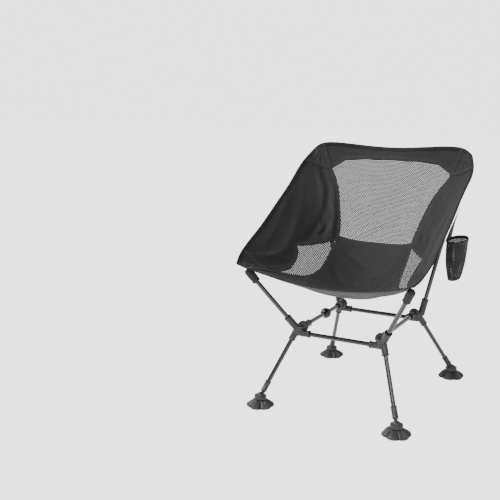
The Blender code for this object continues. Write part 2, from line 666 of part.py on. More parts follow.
def make_pocket(parent):
    shape = bmesh.new()
    levels = [0, 0.25, 0.5, 0.72, 0.9, 1.0]
    rings = [[shape.verts.new(p) for p in pocket_ring(level)] for level in levels]
    count = len(rings[0])
    for upper, lower in zip(rings, rings[1:]):
        for i in range(count):
            j = (i + 1) % count
            shape.faces.new((upper[i], lower[i], lower[j], upper[j]))
    bottom = shape.faces.new(rings[-1])
    bmesh.ops.poke(shape, faces=[bottom])
    bmesh.ops.recalc_face_normals(shape, faces=shape.faces)
    mesh = bpy.data.meshes.new("side_pocket_net")
    shape.to_mesh(mesh)
    shape.free()
    net = add_object("side_pocket_net", mesh, "pocket_net", PARTS, parent)
    wall = net.modifiers.new("net", "SOLIDIFY")
    wall.thickness = CLOTH_THICKNESS
    wall.offset = -1
    rim = [p + Vector((0, 0, POCKET_RIM_RADIUS + GAP)) for p in pocket_ring(0, CLOTH_THICKNESS / 2)]
    make_cord_curve("side_pocket_rim", rim, POCKET_RIM_RADIUS, "binding_tape", parent, True)


def make_hanger(parent):
    """The strip of cloth that the pocket hangs by, outside the side edge."""
    stand_off = BINDING_RADIUS * 2 + CLOTH_THICKNESS + 0.0015
    shape = bmesh.new()
    rows = []
    steps = 6
    for i in range(steps + 1):
        y = POCKET_Y + blend(-HANGER_HALF_LENGTH, HANGER_HALF_LENGTH, i / steps)
        edge, _ = side_edge_at(y)
        middle, _ = side_edge_at(POCKET_Y)
        reach = (y - POCKET_Y) / POCKET_HALF_LENGTH
        rim_x = (edge.x + POCKET_STAND_OFF - POCKET_HALF_WIDTH * math.sqrt(1 - reach ** 2)
                 - POCKET_RIM_RADIUS - 3 * CLOTH_THICKNESS)
        rim_z = middle.z - POCKET_DROP
        top = Vector((edge.x + stand_off, y, edge.z + BINDING_RADIUS))
        foot = Vector((rim_x, y, rim_z - 0.004))
        rows.append([shape.verts.new(top.lerp(foot, t)) for t in (0, 0.35, 0.7, 1)])
    for one, two in zip(rows, rows[1:]):
        for k in range(3):
            shape.faces.new((one[k], one[k + 1], two[k + 1], two[k]))
    bmesh.ops.recalc_face_normals(shape, faces=shape.faces)
    mesh = bpy.data.meshes.new("side_pocket_hanger")
    shape.to_mesh(mesh)
    shape.free()
    hanger = add_object("side_pocket_hanger", mesh, "seat_cloth", PARTS, parent)
    thicken = hanger.modifiers.new("cloth", "SOLIDIFY")
    thicken.thickness = CLOTH_THICKNESS
    thicken.offset = 0


def centre_on_footprint(root):
    """Moves the whole chair so that its origin is the middle of its footprint, on the ground."""
    bpy.context.view_layer.update()
    graph = bpy.context.evaluated_depsgraph_get()
    corners = []
    for thing in PARTS.objects:
        if thing.type == "EMPTY":
            continue
        evaluated = thing.evaluated_get(graph)
        mesh = evaluated.to_mesh()
        corners += [evaluated.matrix_world @ vert.co for vert in mesh.vertices]
        evaluated.to_mesh_clear()
    low = [min(c[axis] for c in corners) for axis in range(3)]
    high = [max(c[axis] for c in corners) for axis in range(3)]
    root.location = (-(low[0] + high[0]) / 2, -(low[1] + high[1]) / 2, -low[2])


clear_scene()
PARTS = new_collection("backpacking_chair")
CUTTERS = new_collection("cutters")
EDGE, SEAM, MIDDLE = rib(EDGE_RIB), rib(SEAM_RIB), rib(MIDDLE_RIB)

chair = bpy.data.objects.new("chair_frame", None)
PARTS.objects.link(chair)
make_bars(chair)
for corner_end, corner_side in CORNERS:
    make_hub(corner_end, corner_side, chair)
    make_arm(corner_end, corner_side, chair)
    make_cord(corner_end, corner_side, chair)
    make_leg(corner_end, corner_side, chair)
    make_foot(corner_end, corner_side, chair)
make_sling(chair)
make_bindings(chair)
make_pocket(chair)
make_hanger(chair)
centre_on_footprint(chair)
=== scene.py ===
import bpy
import math
import numpy as np
from mathutils import Matrix, Vector, noise


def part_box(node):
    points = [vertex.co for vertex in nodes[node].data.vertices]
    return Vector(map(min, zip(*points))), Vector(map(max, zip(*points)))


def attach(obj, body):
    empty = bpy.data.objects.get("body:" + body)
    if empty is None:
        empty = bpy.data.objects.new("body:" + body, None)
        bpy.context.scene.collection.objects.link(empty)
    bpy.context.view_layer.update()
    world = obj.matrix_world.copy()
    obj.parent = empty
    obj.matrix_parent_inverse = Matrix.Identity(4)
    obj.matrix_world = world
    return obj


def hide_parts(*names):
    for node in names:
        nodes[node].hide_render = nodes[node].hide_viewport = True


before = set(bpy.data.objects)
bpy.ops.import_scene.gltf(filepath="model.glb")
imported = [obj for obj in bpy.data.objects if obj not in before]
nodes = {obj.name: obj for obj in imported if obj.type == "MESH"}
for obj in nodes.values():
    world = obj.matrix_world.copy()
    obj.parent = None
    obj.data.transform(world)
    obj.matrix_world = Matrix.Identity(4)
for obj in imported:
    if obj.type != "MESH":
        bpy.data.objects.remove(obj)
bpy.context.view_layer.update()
root = "frame_and_sling"              # the body that all but the legs and pads ride on
ends, sides = ("front", "rear"), ("left", "right")
corners = [(end, side) for end in ends for side in sides]
barToMiddle = 0.1575                  # from the front bar back to the point that sling and camera are set from
frontLow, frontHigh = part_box("front_bar")
middle = Vector(((frontLow.x + frontHigh.x) / 2, (frontLow.y + frontHigh.y) / 2 + barToMiddle, 0))

# camera, floor and lights
print("setting up camera, floor and lights")
view = {"place": (0.8051, -2.0492, 0.8567), "turn": 29.64, "down": 11.64, "lens": 58.2, "sensor": 36}
turn, down = math.radians(view["turn"]), math.radians(view["down"])
look = Vector((-math.sin(turn) * math.cos(down), math.cos(turn) * math.cos(down), -math.sin(down)))
bpy.ops.object.camera_add(location=Vector(view["place"]) + middle)
camera = bpy.context.object
camera.data.lens, camera.data.sensor_width = view["lens"], view["sensor"]
camera.rotation_mode = "QUATERNION"
camera.rotation_quaternion = look.to_track_quat("-Z", "Y")
bpy.context.scene.camera = camera

# the floor lies just below the lowest that a pulled leg's pad reaches, and looks as bright as the backdrop
studio = {"floor": 24.0, "drop": 0.05, "world": 0.9, "backdrop": 2.75, "sweep": 2.95, "glow": 0.5}
lamps = {      # place, aim, size and power
    "keyLight": ((-1.9, -1.2, 2.4), (0, 0, 0.35), (1.0, 1.0), 130.0),
    "fillLight": ((2.3, -1.2, 1.5), (0, 0, 0.35), (1.2, 1.6), 26.0),
    "stripLight": ((0.4, -2.6, 1.9), (0, 0, 0.2), (0.25, 1.8), 60.0)}
bpy.ops.mesh.primitive_plane_add(size=studio["floor"], location=(0, 0, -studio["drop"]))
floor = bpy.context.object
floor.name = "floor"


def addLight(name, place, aim, size, power):
    bpy.ops.object.light_add(type="AREA", location=place)
    light = bpy.context.object
    light.name, light.data.energy = name, power
    light.data.shape, light.data.size, light.data.size_y = "RECTANGLE", *size
    light.rotation_mode = "QUATERNION"
    light.rotation_quaternion = (Vector(aim) - Vector(place)).to_track_quat("-Z", "Y")


for name, lamp in lamps.items():
    addLight(name, *lamp)
world = bpy.data.worlds.new("studioWorld")
bpy.context.scene.world = world
world.use_nodes = True
worldTree = world.node_tree
backdrop = worldTree.nodes["Background"]
backdrop.inputs["Color"].default_value = (1, 1, 1, 1)
rayPath, brightness = worldTree.nodes.new("ShaderNodeLightPath"), worldTree.nodes.new("ShaderNodeMapRange")
brightness.inputs["To Min"].default_value = studio["world"]
brightness.inputs["To Max"].default_value = studio["backdrop"]
worldTree.links.new(rayPath.outputs["Is Camera Ray"], brightness.inputs["Value"])
worldTree.links.new(brightness.outputs["Result"], backdrop.inputs["Strength"])

# materials
print("mixing the materials")


def newGroup(name, ins, outs):        # a node group of number sockets, and a vector one named Vector
    group = bpy.data.node_groups.new(name, "ShaderNodeTree")
    for label, value in ins.items():
        kind = "NodeSocketVector" if value is None else "NodeSocketFloat"
        socket = group.interface.new_socket(label, in_out="INPUT", socket_type=kind)
        if value is not None:
            socket.default_value = value
    for label in outs:
        group.interface.new_socket(label, in_out="OUTPUT", socket_type="NodeSocketFloat")
    return group, group.nodes.new("NodeGroupInput"), group.nodes.new("NodeGroupOutput")


def mathNode(tree, operation, a, b=None, c=None, clamp=False):
    node = tree.nodes.new("ShaderNodeMath")
    node.operation, node.use_clamp = operation, clamp
    for socket, value in zip(node.inputs, (a, b, c)):
        if value is None:
            continue
        if isinstance(value, (int, float)):
            socket.default_value = value
        else:
            tree.links.new(value, socket)
    return node.outputs[0]


def splitVector(tree, vector):
    node = tree.nodes.new("ShaderNodeSeparateXYZ")
    tree.links.new(vector, node.inputs[0])
    return node.outputs


def noiseNode(tree, vector, scale, detail=3.0, rough=0.55):
    node = tree.nodes.new("ShaderNodeTexNoise")
    node.inputs["Scale"].default_value = scale
    node.inputs["Detail"].default_value = detail
    node.inputs["Roughness"].default_value = rough
    tree.links.new(vector, node.inputs["Vector"])
    return node.outputs["Fac"]


def rangeNode(tree, value, fromLow, fromHigh, toLow=0.0, toHigh=1.0):
    node = tree.nodes.new("ShaderNodeMapRange")
    for label, number in zip(("From Min", "From Max", "To Min", "To Max"), (fromLow, fromHigh, toLow, toHigh)):
        node.inputs[label].default_value = number
    tree.links.new(value, node.inputs["Value"])
    return node.outputs["Result"]


def mixColour(tree, share, one, two):
    node = tree.nodes.new("ShaderNodeMix")
    node.data_type = "RGBA"
    for socket, value in ((node.inputs[0], share), (node.inputs[6], one), (node.inputs[7], two)):
        if isinstance(value, tuple):
            socket.default_value = (*value, 1)
        else:
            tree.links.new(value, socket)
    return node.outputs[2]


def grey(level, blue=0.0):
    return (level, level, level + blue)


def weaveGroup():                     # over and under threads, in metres along the cloth; the tone is yarn slub plus painted shade, darker where the weave dips
    group, entry, leave = newGroup("threadWeave", {"Vector": None, "Pitch": 0.0008}, ("Height", "SlubAndShade"))
    x, y, _ = splitVector(group, entry.outputs["Vector"])
    steps = [mathNode(group, "DIVIDE", w, entry.outputs["Pitch"]) for w in (x, y)]
    waves = [mathNode(group, "SINE", mathNode(group, "MULTIPLY", w, math.pi)) for w in steps]
    height = mathNode(group, "MULTIPLY_ADD", mathNode(group, "MULTIPLY", *waves), 0.5, 0.5)
    slub = noiseNode(group, entry.outputs["Vector"], 90.0, 4.0, 0.7)
    # yarn slub tone, plus painted shade from the weave's height: darker in the dips
    slubAndShade = mathNode(group, "MULTIPLY_ADD", slub, 0.6, mathNode(group, "MULTIPLY", height, 0.4))
    group.links.new(height, leave.inputs["Height"])
    group.links.new(slubAndShade, leave.inputs["SlubAndShade"])
    return group


def netGroup():                       # rounded holes in staggered rows
    group, entry, leave = newGroup("netHoles", {"Vector": None, "Pitch": 0.003, "Row": 0.0026, "Hole": 0.5},
                                   ("Thread", "Height"))
    x, y, _ = splitVector(group, entry.outputs["Vector"])
    v = mathNode(group, "DIVIDE", y, entry.outputs["Row"])
    stagger = mathNode(group, "MULTIPLY", mathNode(group, "FLOOR", v), 0.5)
    u = mathNode(group, "ADD", mathNode(group, "DIVIDE", x, entry.outputs["Pitch"]), stagger)
    away = []
    for w in (u, v):
        part = mathNode(group, "SUBTRACT", mathNode(group, "FRACT", w), 0.5)
        apart = mathNode(group, "ABSOLUTE", mathNode(group, "MULTIPLY", part, 2.0))
        away.append(mathNode(group, "POWER", apart, 2.2))
    edge = mathNode(group, "SUBTRACT", mathNode(group, "ADD", *away), entry.outputs["Hole"])
    group.links.new(mathNode(group, "MULTIPLY_ADD", edge, 9.0, 0.5, True), leave.inputs["Thread"])
    group.links.new(mathNode(group, "MULTIPLY", edge, 0.8, None, True), leave.inputs["Height"])
    return group


def stitchGroup():                    # two rows of thread beside a seam
    sockets = {"Away": 1.0, "Run": 0.0, "First": 0.0022, "Second": 0.0066, "Length": 0.0034}
    group, entry, leave = newGroup("seamStitches", sockets, ("Thread", "Groove"))
    phase = mathNode(group, "FRACT", mathNode(group, "DIVIDE", entry.outputs["Run"], entry.outputs["Length"]))
    there = mathNode(group, "LESS_THAN", phase, 0.74)
    rows, dips = [], []
    for label in ("First", "Second"):
        gap = mathNode(group, "SUBTRACT", entry.outputs["Away"], entry.outputs[label])
        apart = mathNode(group, "ABSOLUTE", gap)
        rows.append(rangeNode(group, apart, 0.0003, 0.0005, 1.0, 0.0))
        dips.append(rangeNode(group, apart, 0.0003, 0.0014, 1.0, 0.0))
    both = mathNode(group, "MAXIMUM", *rows)
    group.links.new(mathNode(group, "MULTIPLY", both, there), leave.inputs["Thread"])
    group.links.new(mathNode(group, "MAXIMUM", *dips), leave.inputs["Groove"])
    return group


def wearGroup():                      # fine grain, light scuffs and a little dust
    group, entry, leave = newGroup("grainAndDust", {"Vector": None, "Grain": 900.0, "Up": 0.0},
                                   ("Height", "Scuff", "Dust"))
    grain = group.nodes.new("ShaderNodeTexNoise")
    group.links.new(entry.outputs["Vector"], grain.inputs["Vector"])
    group.links.new(entry.outputs["Grain"], grain.inputs["Scale"])
    grain.inputs["Detail"].default_value = 2.0
    patches = noiseNode(group, entry.outputs["Vector"], 38.0, 5.0, 0.65)
    fine = noiseNode(group, entry.outputs["Vector"], 260.0, 3.0, 0.6)
    scuff = mathNode(group, "MULTIPLY", rangeNode(group, patches, 0.5, 0.72), rangeNode(group, fine, 0.42, 0.62))
    dust = mathNode(group, "MULTIPLY", rangeNode(group, patches, 0.35, 0.75), entry.outputs["Up"])
    group.links.new(grain.outputs["Fac"], leave.inputs["Height"])
    group.links.new(scuff, leave.inputs["Scuff"])
    group.links.new(dust, leave.inputs["Dust"])
    return group


threadWeave, netHoles, seamStitches, grainAndDust = weaveGroup(), netGroup(), stitchGroup(), wearGroup()


def newMaterial(name, roughness, shine=0.5):
    material = bpy.data.materials.new(name)
    material.use_nodes = True
    tree = material.node_tree
    shader = tree.nodes["Principled BSDF"]
    shader.inputs["Roughness"].default_value = roughness
    shader.inputs["Specular IOR Level"].default_value = shine
    return material, tree, shader


def placeGroup(tree, group, **values):
    node = tree.nodes.new("ShaderNodeGroup")
    node.node_tree = group
    for label, value in values.items():
        if isinstance(value, (int, float)):
            node.inputs[label].default_value = value
        else:
            tree.links.new(value, node.inputs[label])
    return node


def bumpNode(tree, shader, height, strength, distance):
    node = tree.nodes.new("ShaderNodeBump")
    node.inputs["Strength"].default_value = strength
    node.inputs["Distance"].default_value = distance
    tree.links.new(height, node.inputs["Height"])
    tree.links.new(node.outputs["Normal"], shader.inputs["Normal"])


def readAttribute(tree, name):
    node = tree.nodes.new("ShaderNodeAttribute")
    node.attribute_name = name
    return node.outputs["Fac"]


clothLook = {"shine": 0.14, "fade": 9.0, "crumple": 55.0, "weaveHeight": 0.16, "crumpleHeight": 1.1,
             "grooveHeight": -0.5, "threadHeight": 0.45, "bump": 0.55, "depth": 0.0011, "sheenRough": 0.45}
netLook = {"shine": 0.08, "patches": 24.0, "bump": 0.5, "depth": 0.0004, "sheen": 0.02}
solidLook = {"dust": (0.22, 0.21, 0.2), "scuffRough": 0.16, "depth": 0.0003, "coatRough": 0.12}


def clothMaterial(name, dark, light, thread, pitch, roughness, sheen):
    material, tree, shader = newMaterial(name, roughness, clothLook["shine"])
    where = tree.nodes.new("ShaderNodeUVMap").outputs["UV"]
    weave = placeGroup(tree, threadWeave, Vector=where, Pitch=pitch)
    away, run = readAttribute(tree, "seamAway"), readAttribute(tree, "seamRun")
    stitch = placeGroup(tree, seamStitches, Away=away, Run=run)
    fade = noiseNode(tree, where, clothLook["fade"], 4.0, 0.6)
    # the weave's tone carries painted shade in the weave's dips as well as slub
    share = mathNode(tree, "MULTIPLY_ADD", fade, 0.5, mathNode(tree, "MULTIPLY", weave.outputs["SlubAndShade"], 0.5))
    cloth = mixColour(tree, rangeNode(tree, share, 0.3, 0.7), dark, light)
    tree.links.new(mixColour(tree, stitch.outputs["Thread"], cloth, thread), shader.inputs["Base Color"])
    rough = rangeNode(tree, fade, 0.3, 0.7, roughness - 0.06, roughness + 0.08)
    tree.links.new(rough, shader.inputs["Roughness"])
    crumple = noiseNode(tree, where, clothLook["crumple"], 4.0, 0.55)
    height = mathNode(tree, "MULTIPLY", crumple, clothLook["crumpleHeight"])
    for source, scale in ((weave.outputs["Height"], clothLook["weaveHeight"]),
                          (stitch.outputs["Groove"], clothLook["grooveHeight"]),
                          (stitch.outputs["Thread"], clothLook["threadHeight"])):
        height = mathNode(tree, "MULTIPLY_ADD", source, scale, height)
    bumpNode(tree, shader, height, clothLook["bump"], clothLook["depth"])
    shader.inputs["Sheen Weight"].default_value = sheen
    shader.inputs["Sheen Roughness"].default_value = clothLook["sheenRough"]
    return material


def netMaterial(name, dark, light, pitch, row, hole, roughness):
    material, tree, shader = newMaterial(name, roughness, netLook["shine"])
    where = tree.nodes.new("ShaderNodeUVMap").outputs["UV"]
    net = placeGroup(tree, netHoles, Vector=where, Pitch=pitch, Row=row, Hole=hole)
    tone = noiseNode(tree, where, netLook["patches"], 3.0, 0.6)
    tree.links.new(mixColour(tree, rangeNode(tree, tone, 0.3, 0.7), dark, light), shader.inputs["Base Color"])
    tree.links.new(net.outputs["Thread"], shader.inputs["Alpha"])
    rough = rangeNode(tree, tone, 0.3, 0.7, roughness - 0.05, roughness + 0.07)
    tree.links.new(rough, shader.inputs["Roughness"])
    bumpNode(tree, shader, net.outputs["Height"], netLook["bump"], netLook["depth"])
    shader.inputs["Sheen Weight"].default_value = netLook["sheen"]
    return material


def solidMaterial(name, dark, light, roughness, grain, bump, scuffed, dusty=0.0, metallic=0.0, coat=0.0,
                  shine=0.3):
    material, tree, shader = newMaterial(name, roughness, shine)
    where = tree.nodes.new("ShaderNodeTexCoord").outputs["Object"]
    up = splitVector(tree, tree.nodes.new("ShaderNodeNewGeometry").outputs["Normal"])[2]
    wear = placeGroup(tree, grainAndDust, Vector=where, Grain=grain, Up=mathNode(tree, "MAXIMUM", up, 0.0))
    tone = mixColour(tree, mathNode(tree, "MULTIPLY", wear.outputs["Scuff"], scuffed), dark, light)
    dusted = mixColour(tree, mathNode(tree, "MULTIPLY", wear.outputs["Dust"], dusty), tone, solidLook["dust"])
    tree.links.new(dusted, shader.inputs["Base Color"])
    rough = mathNode(tree, "MULTIPLY_ADD", wear.outputs["Scuff"], solidLook["scuffRough"], roughness)
    tree.links.new(rough, shader.inputs["Roughness"])
    bumpNode(tree, shader, wear.outputs["Height"], bump, solidLook["depth"])
    shader.inputs["Metallic"].default_value = metallic
    shader.inputs["Coat Weight"].default_value = coat
    shader.inputs["Coat Roughness"].default_value = solidLook["coatRough"]
    return material


def padMaterial():                    # painted shade: darker down in the grooves between petals
    material = solidMaterial("greyPadRubber", grey(0.016, 0.0005), grey(0.04), 0.46, 1100.0, 0.35, 0.4, 0.06)
    tree = material.node_tree
    colour = tree.nodes["Principled BSDF"].inputs["Base Color"]
    plain = colour.links[0].from_socket
    # grey(0.003) is painted shade, mixed in by the groove value that shapePetals writes
    tree.links.new(mixColour(tree, readAttribute(tree, "groove"), plain, grey(0.003)), colour)
    return material


finishes = {
    "seat": clothMaterial("charcoalCloth", grey(0.0105, 0.0005), grey(0.0175, 0.001), grey(0.030, 0.001),
                          pitch=0.0009, roughness=0.66, sheen=0.06),
    "tape": clothMaterial("blackBindingTape", grey(0.005), grey(0.010), grey(0.016),
                          pitch=0.0013, roughness=0.6, sheen=0.03),
    "mesh": netMaterial("greyBackMesh", grey(0.022), grey(0.040), 0.0050, 0.0038, hole=0.115, roughness=0.7),
    "vent": netMaterial("greyVentMesh", grey(0.018), grey(0.032), 0.0034, 0.0062, hole=0.08, roughness=0.7),
    "net": netMaterial("blackPocketNet", grey(0.010), grey(0.018), 0.0040, 0.0040, hole=0.05, roughness=0.75),
    "tube": solidMaterial("blackAnodisedTube", grey(0.008, 0.0005), grey(0.02, 0.001), 0.2, 700.0, 0.03,
                          scuffed=0.35, dusty=0.02, metallic=0.35, coat=0.35, shine=0.5),
    "hub": solidMaterial("greyMouldedHub", grey(0.016, 0.0005), grey(0.045), 0.36, 1300.0, 0.22,
                         scuffed=0.3, dusty=0.03),
    "ball": solidMaterial("blackJointBall", grey(0.005), grey(0.02), 0.3, 1300.0, 0.12,
                          scuffed=0.3, dusty=0.02, coat=0.15),
    "pad": padMaterial(),
    "cord": solidMaterial("blackShockCord", grey(0.008), grey(0.03), 0.8, 2200.0, 0.8, scuffed=0.6),
}


def floorMaterial():                  # an even pale sweep to the camera, and a dim floor to all other rays
    material, tree, shader = newMaterial("paleFloor", 0.9)
    where = tree.nodes.new("ShaderNodeTexCoord").outputs["Object"]
    tone = rangeNode(tree, noiseNode(tree, where, 2.0), 0.3, 0.7)
    tree.links.new(mixColour(tree, tone, grey(0.93), grey(0.96)), shader.inputs["Base Color"])
    shader.inputs["Emission Color"].default_value = (1, 1, 1, 1)
    shader.inputs["Emission Strength"].default_value = studio["glow"]
    sweep, both = tree.nodes.new("ShaderNodeEmission"), tree.nodes.new("ShaderNodeMixShader")
    tree.links.new(mixColour(tree, tone, grey(0.98), grey(1.0)), sweep.inputs["Color"])
    sweep.inputs["Strength"].default_value = studio["sweep"]
    cameraRay = tree.nodes.new("ShaderNodeLightPath").outputs["Is Camera Ray"]
    for source, socket in zip((cameraRay, shader.outputs[0], sweep.outputs[0]), both.inputs):
        tree.links.new(source, socket)
    tree.links.new(both.outputs[0], tree.nodes["Material Output"].inputs["Surface"])
    return material


floor.data.materials.append(floorMaterial())


# steps that several pieces share
def deselectAll():
    if bpy.context.object and bpy.context.object.mode != "OBJECT":
        bpy.ops.object.mode_set(mode="OBJECT")
    bpy.ops.object.select_all(action="DESELECT")


def makeActive(piece):
    deselectAll()
    piece.select_set(True)
    bpy.context.view_layer.objects.active = piece


def applyModifiers(piece):
    makeActive(piece)
    for modifier in list(piece.modifiers):
        bpy.ops.object.modifier_apply(modifier=modifier.name)


def thicken(piece, thickness, offset=0):
    wall = piece.modifiers.new("wall", "SOLIDIFY")
    wall.thickness, wall.offset = thickness, offset
    applyModifiers(piece)


def cleanMesh(doubles=None, flip=False):     # of the active piece
    bpy.ops.object.mode_set(mode="EDIT")
    bpy.ops.mesh.select_all(action="SELECT")
    if doubles:
        bpy.ops.mesh.remove_doubles(threshold=doubles)
    bpy.ops.mesh.normals_make_consistent(inside=False)
    if flip:
        bpy.ops.mesh.flip_normals()
    bpy.ops.object.mode_set(mode="OBJECT")


def finishPiece(piece, finish, body, *replaced, angle=None):
    makeActive(piece)
    if angle is None:
        bpy.ops.object.shade_smooth()
    else:
        bpy.ops.object.shade_smooth_by_angle(angle=math.radians(angle))
    piece.data.materials.clear()
    piece.data.materials.append(finishes[finish])
    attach(piece, body)
    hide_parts(*replaced)


def lineOf(node):                     # the two ends of a long node's own axis, lowest first
    spots = np.unique(np.round([v.co for v in nodes[node].data.vertices], 6), axis=0)
    centre = spots.mean(0)
    direction = np.linalg.svd(spots - centre, full_matrices=False)[2][0]
    reach = (spots - centre) @ direction
    found = [Vector(centre + direction * reach.min()), Vector(centre + direction * reach.max())]
    return sorted(found, key=lambda p: (round(p.z, 4), p.x + p.y))


def alongLine(start, toward):
    start, toward = Vector(start), Vector(toward)
    return Matrix.Translation(start) @ (toward - start).to_track_quat("Z", "Y").to_matrix().to_4x4()


def turnProfile(name, profile, start, toward, steps=48):     # (radius, height) points, drawn out and spun
    deselectAll()
    bpy.ops.mesh.primitive_plane_add(size=0.01, location=(0, 0, 0))
    piece = bpy.context.object
    piece.name = piece.data.name = name
    bpy.ops.object.mode_set(mode="EDIT")
    bpy.ops.mesh.select_all(action="SELECT")
    bpy.ops.mesh.merge(type="CENTER")
    bpy.ops.transform.translate(value=(profile[0][0], 0, profile[0][1]))
    for (r0, z0), (r1, z1) in zip(profile, profile[1:]):
        bpy.ops.mesh.extrude_region_move(TRANSFORM_OT_translate={"value": (r1 - r0, 0, z1 - z0)})
    bpy.ops.mesh.select_all(action="SELECT")
    bpy.ops.mesh.spin(steps=steps, angle=2 * math.pi, center=(0, 0, 0), axis=(0, 0, 1))
    cleanMesh(doubles=0.000002)
    piece.data.transform(alongLine(start, toward))
    return piece


def joinPieces(main, others):
    deselectAll()
    for piece in (*others, main):
        piece.select_set(True)
    bpy.context.view_layer.objects.active = main
    bpy.ops.object.join()
    return main


def newGrid(name, columns, rows):     # with how far each point is along the two sides, from 0 to 1
    deselectAll()
    bpy.ops.mesh.primitive_grid_add(x_subdivisions=columns, y_subdivisions=rows, size=1, location=(0, 0, 0))
    piece = bpy.context.object
    piece.name = piece.data.name = name
    flat = np.array([v.co for v in piece.data.vertices])
    return piece, flat[:, 0] + 0.5, flat[:, 1] + 0.5


def placePoints(piece, points):
    piece.data.vertices.foreach_set("co", points.reshape(-1, 3).astype(np.float32).ravel())


def writeValues(piece, **values):     # a number for each point, which a material reads
    for label, numbers in values.items():
        attribute = piece.data.attributes.new(label, "FLOAT", "POINT")
        attribute.data.foreach_set("value", np.asarray(numbers, np.float32).ravel())


def writeNoSeam(piece):               # no stitches anywhere
    far = np.ones(len(piece.data.vertices))
    writeValues(piece, seamAway=far, seamRun=far)


def writeCloth(piece, across, along):   # where each point lies on the flat cloth, in metres
    corner = np.zeros(len(piece.data.loops), np.int32)
    piece.data.loops.foreach_get("vertex_index", corner)
    laid = np.stack([across.ravel(), along.ravel()], axis=1)[corner]
    piece.data.uv_layers.active.data.foreach_set("uv", laid.astype(np.float32).ravel())


def smoothStep(low, high, value):
    share = np.clip((np.asarray(value, float) - low) / (high - low), 0, 1)
    return share * share * (3 - 2 * share)


def between(low, high, share):
    return low + (high - low) * share


# tubes
print("turning the tubes")
tube = {"radius": 0.006, "wall": 0.0009, "round": 0.00025}


def makeTube(node, body):
    start, end = lineOf(node)
    length, radius, wall, edge = (end - start).length, tube["radius"], tube["wall"], tube["round"]
    profile = [(radius - wall, length), (radius - edge, length), (radius, length - edge), (radius, edge),
               (radius - edge, 0), (radius - wall, 0), (radius - wall, length)]
    finishPiece(turnProfile(node + "_tube", profile, start, end), "tube", body, node, angle=40)


for node in ("front_bar", "rear_bar", "side_bar_right", "side_bar_left_front", "side_bar_left_rear"):
    makeTube(node, root)
for end, side in corners:
    makeTube(f"arm_{end}_{side}", root)
    makeTube(f"leg_{end}_{side}", f"leg_{end}_{side}")

# joint ball in the left bar
jointBall = {"radius": 0.0152, "bore": 0.0064, "web": 0.0015, "groove": 0.0007, "lip": 0.0012, "stand": 0.0006,
             "chamfer": 0.0008, "steps": 24}


def makeJointBall():
    low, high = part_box("joint_ball")
    centre = (low + high) / 2
    radius, bore, web, steps = (jointBall[size] for size in ("radius", "bore", "web", "steps"))
    first = math.asin((bore + jointBall["lip"]) / radius)
    arc = [first + (math.pi - 2 * first) * i / steps for i in range(steps + 1)]
    skin = [(radius * math.sin(a), radius * math.cos(a)) for a in arc]
    skin[steps // 2] = (radius - jointBall["groove"], 0)
    mouth, edge = radius * math.cos(first) + jointBall["stand"], bore + jointBall["chamfer"]
    profile = [(0, web), (bore, web), (bore, mouth), (edge, mouth), *skin, (edge, -mouth), (bore, -mouth),
               (bore, -web), (0, -web)]
    ball = turnProfile("joint_ball_shell", profile, centre, centre + Vector((0, 1, 0)))
    finishPiece(ball, "ball", root, "joint_ball", angle=35)


makeJointBall()

# hubs
print("moulding the hubs")
hub = {"sleeve": 0.009, "above": 0.024, "below": 0.022, "cross": 0.026, "side": 0.046, "arm": 0.060,
       "armStart": 0.012, "armRadius": 0.0102, "bore": 0.0065, "drill": (-0.009, 0.05), "lip": 0.0011,
       "armLip": 0.0008, "lipWide": 0.0034, "edge": 0.0008, "foot": 0.001, "mouth": 0.0006, "disc": 0.0155,
       "discAt": 0.010, "discHalf": 0.0055, "core": 0.0132, "coreDrop": 0.006, "coreEdge": 0.003,
       "coreBack": 0.006, "web": 0.003, "voxel": 0.00058}


def barrel(name, radius, low, high, floorAt, start, toward, lip):     # a socket with a rolled mouth
    bore, edge, lipWide, wide = hub["bore"], hub["edge"], hub["lipWide"], radius + lip
    profile = [(0, low), (radius - hub["foot"], low), (radius, low + hub["foot"]),
               (radius, high - lipWide - edge), (wide, high - lipWide), (wide, high - edge), (wide - edge, high),
               (bore + hub["mouth"], high), (bore, high - hub["mouth"]), (bore, floorAt), (0, floorAt)]
    return turnProfile(name, profile, start, toward, 40)


def hubDisc():                        # a disc with a groove round its rim, and its axis along the side bar
    wide, at, half = hub["disc"], hub["discAt"], hub["discHalf"]
    outline = [(0, -half), (wide - 0.0022, -half), (wide - 0.0008, -half + 0.0012), (wide, -0.0018),
               (wide - 0.0013, -0.0009)]
    return [(r, at + h) for r, h in outline] + [(r, at - h) for r, h in reversed(outline)]


def hubCore(rise):                    # an upright drum that joins the four sockets
    core, drop, edge = hub["core"], hub["coreDrop"], hub["coreEdge"]
    return [(0, -drop), (core - edge, -drop), (core, -drop + edge), (core, rise + drop - edge),
            (core - edge, rise + drop), (0, rise + drop)]


def makeWeb(name, a, b, c):           # a thin stiffening web between three points
    size = 0.01
    deselectAll()
    bpy.ops.mesh.primitive_plane_add(size=size, location=(0, 0, 0))
    piece = bpy.context.object
    piece.name = name
    bpy.ops.object.mode_set(mode="EDIT")
    bpy.ops.mesh.select_all(action="SELECT")
    bpy.ops.mesh.subdivide(number_cuts=1)
    bpy.ops.object.mode_set(mode="OBJECT")
    for vert in piece.data.vertices:
        s, t = vert.co.x / size + 0.5, vert.co.y / size + 0.5
        vert.co = a * (1 - s) * (1 - t) + b * s * (1 - t) + c * (1 - s) * t + (b + c) / 2 * s * t
    thicken(piece, hub["web"])
    return piece


